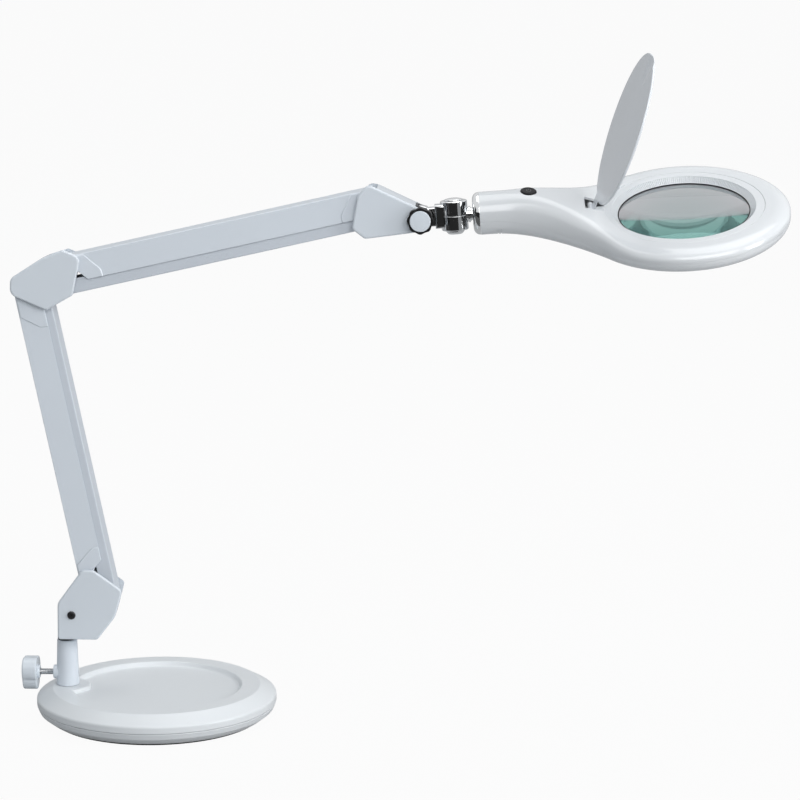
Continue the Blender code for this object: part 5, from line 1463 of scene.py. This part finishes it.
def stage():
    corners = [(-1, -1), (1, -1), (1, 1), (-1, 1)]
    floor = panel("floor", [(x * FLOOR_HALF, y * FLOOR_HALF, 0.0) for x, y in corners])
    mat, shader = principled("floor_paper")
    tree = mat.node_tree
    fill(shader, Base_Color=(0.45, 0.455, 0.46, 1.0), Roughness=0.9)
    whiten(tree, (0.95, 0.15, 0.25), shader, node(tree, "ShaderNodeEmission"), "Material Output")
    floor.data.materials.append(mat)


def seen(tree, camera_share, glossy_share, glass_share):
    """Share of white for rays that show the background: from the camera, mirrored or through glass."""
    path = node(tree, "ShaderNodeLightPath")
    total = None
    shares = {
        "Is Camera Ray": camera_share,
        "Is Glossy Ray": glossy_share,
        "Is Transmission Ray": glass_share,
    }
    for name, share in shares.items():
        scaled = node(tree, "ShaderNodeMath")
        scaled.operation = "MULTIPLY"
        tree.links.new(path.outputs[name], scaled.inputs[0])
        scaled.inputs[1].default_value = share
        if total:
            both = node(tree, "ShaderNodeMath")
            both.operation = "MAXIMUM"
            tree.links.new(total, both.inputs[0])
            tree.links.new(scaled.outputs["Value"], both.inputs[1])
            scaled = both
        total = scaled.outputs["Value"]
    return total


def whiten(tree, shares, plain, white, end):
    """Mix a plain and a white shader by the kind of ray, into the tree's last node."""
    mix = node(tree, "ShaderNodeMixShader")
    tree.links.new(seen(tree, *shares), mix.inputs["Fac"])
    tree.links.new(plain.outputs[0], mix.inputs[1])
    tree.links.new(white.outputs[0], mix.inputs[2])
    tree.links.new(mix.outputs["Shader"], tree.nodes[end].inputs["Surface"])


def aim(obj, spot, target):
    obj.location = spot
    obj.rotation_euler = (Vector(target) - Vector(spot)).to_track_quat("-Z", "Y").to_euler()


def lamp(name, spot, target, size, power):
    data = bpy.data.lights.new(name, "AREA")
    data.shape = "RECTANGLE"
    data.size, data.size_y = size
    data.energy = power
    obj = linked(name, data)
    aim(obj, spot, target)
    obj.visible_camera = False
    obj.visible_transmission = False


def upright(first, last, top):
    """Corners of an upright card between two floor points."""
    return [(*first, CARD_LOW), (*last, CARD_LOW), (*last, top), (*first, top)]


def card(name, corners, level, through_glass=False):
    """Studio card which only mirror reflections see, or glass too."""
    obj = panel(name, corners)
    mat, shader = principled(name)
    fill(shader, Base_Color=(0.0, 0.0, 0.0, 1.0), Roughness=1.0)
    fill(shader, Emission_Color=(0.97, 0.98, 1.0, 1.0), Emission_Strength=level)
    obj.data.materials.append(mat)
    obj.visible_camera = False
    obj.visible_diffuse = False
    obj.visible_transmission = through_glass
    obj.visible_shadow = False


def light():
    world = bpy.data.worlds.new("studio")
    bpy.context.scene.world = world
    world.use_nodes = True
    tree = world.node_tree
    ambient = tree.nodes["Background"]
    fill(ambient, Color=(0.86, 0.94, 1.0, 1.0), Strength=0.27)
    white = node(tree, "ShaderNodeBackground", Color=(1.0, 1.0, 1.0, 1.0))
    whiten(tree, (1.0, 0.75, 0.75), ambient, white, "World Output")
    lamp("front", (1.45, -3.10, 2.41), (0.45, 0.0, 0.45), (3.70, 2.62), 78.0)
    lamp("side", (4.20, -1.36, 1.55), (0.2, 0.0, 0.3), (1.4, 2.8), 70.0)
    lamp("top", (0.30, 0.45, 4.0), (0.3, 0.0, 0.3), (4.0, 2.8), 52.0)


def camera():
    data = bpy.data.cameras.new("photo_view")
    data.lens = LENS_MM
    data.sensor_width = SENSOR_MM
    obj = linked("photo_view", data)
    aim(obj, EYE_POINT, LOOK_POINT)
    bpy.context.scene.camera = obj


camera()
stage()
card("card_front", upright((CARD_LEFT, CARD_FRONT), (CARD_RIGHT, CARD_FRONT), 0.80), 0.015)
card("card_left", upright((CARD_LEFT, -0.25), (CARD_LEFT, CARD_FRONT), 1.40), 0.03)
card("card_right", upright((2.0, -0.1), (2.0, 1.3), 0.90), 0.06)
card("card_back", upright((-1.2, 1.4), (1.7, 1.4), 0.95), 0.55, True)
card("card_floor", [
    (CARD_LEFT, CARD_FRONT, CARD_LYING),
    (CARD_RIGHT, CARD_FRONT, CARD_LYING),
    (CARD_RIGHT, -0.2, CARD_LYING),
    (CARD_LEFT, -0.2, CARD_LYING),
], 0.08)
light()
scene = bpy.context.scene
scene.view_settings.view_transform = "Standard"
scene.cycles.max_bounces = 24
scene.cycles.glossy_bounces = 16
scene.cycles.transmission_bounces = 16

keep(IRON, "base_weight")
keep(STEEL, "base_screw_1", "base_screw_2", "post_bolt", "head_screw", "hinge_pin", "spigot_nut")
keep(STEEL, "lower_pin_outer", "lower_pin_inner", "elbow_pin_1", "elbow_pin_2", "elbow_pin_3")
keep(STEEL, "elbow_pin_4", "front_pin_outer", "front_pin_inner", "tilt_bolt")
# frames in the near-black painted shade
keep(FRAME_SHADE, "lower_frame", "elbow_frame", "front_frame")
keep(BOARD, "led_board", "driver_board")

base_cover()
base_tray()
post()
thumbscrew()
piece(lathe("swivel_washer_rounded", [
    (SPIGOT_R + GAP, -GAP),
    (WASHER_R, -GAP, 0.0005),
    (WASHER_R, -GAP - WASHER_T, 0.0005),
    (SPIGOT_R + GAP, -GAP - WASHER_T),
], ROUND), SWIVEL, BLACK, "swivel", "swivel_washer")
cover_pair("lower", SWIVEL, "swivel", LOWER_COVER, lower_rim, LOWER_SCREW, -1,
           [(0, (0.0, 0.0, SPIGOT_HOLE[0]), (0.0, 0.0, SPIGOT_HOLE[1]), SPIGOT_R + GAP)], COVER_DRAFTS)
cover_pair("elbow", ELBOW, "elbow", ELBOW_COVER, elbow_rim, ELBOW_SCREW, 1, (), COVER_DRAFTS,
           sloped(*ELBOW_SLOPE))
cover_pair("front", FRONT, "front", FRONT_COVER, front_rim, FRONT_SCREW, 1,
           [(-1, (TILT_X, -TILT_HOLE, TILT_Z), (TILT_X, 0.0, TILT_Z), BOLT_R + GAP)],
           FRONT_DRAFTS, sloped(*FRONT_SLOPE))
for section, length, place, link_place, cuts, panel_ends in (
    ("lower", LOWER_LEN, LOWER, LOWER_BAR, LOWER_CUTS, LOWER_PANEL),
    ("upper", UPPER_LEN, UPPER, UPPER_BAR, UPPER_CUTS, UPPER_PANEL),
):
    outer_channel(section, length, place, cuts, panel_ends)
    inner_channel(section, length, link_place)
    spring(section, length, place)
tilt_knob()
tilt_link()
neck()
end_cap()
head()
lens()
lens_holder()
lens_bezel()
lens_rim_painted_shade()
diffuser()
power_button()
lens_cover()
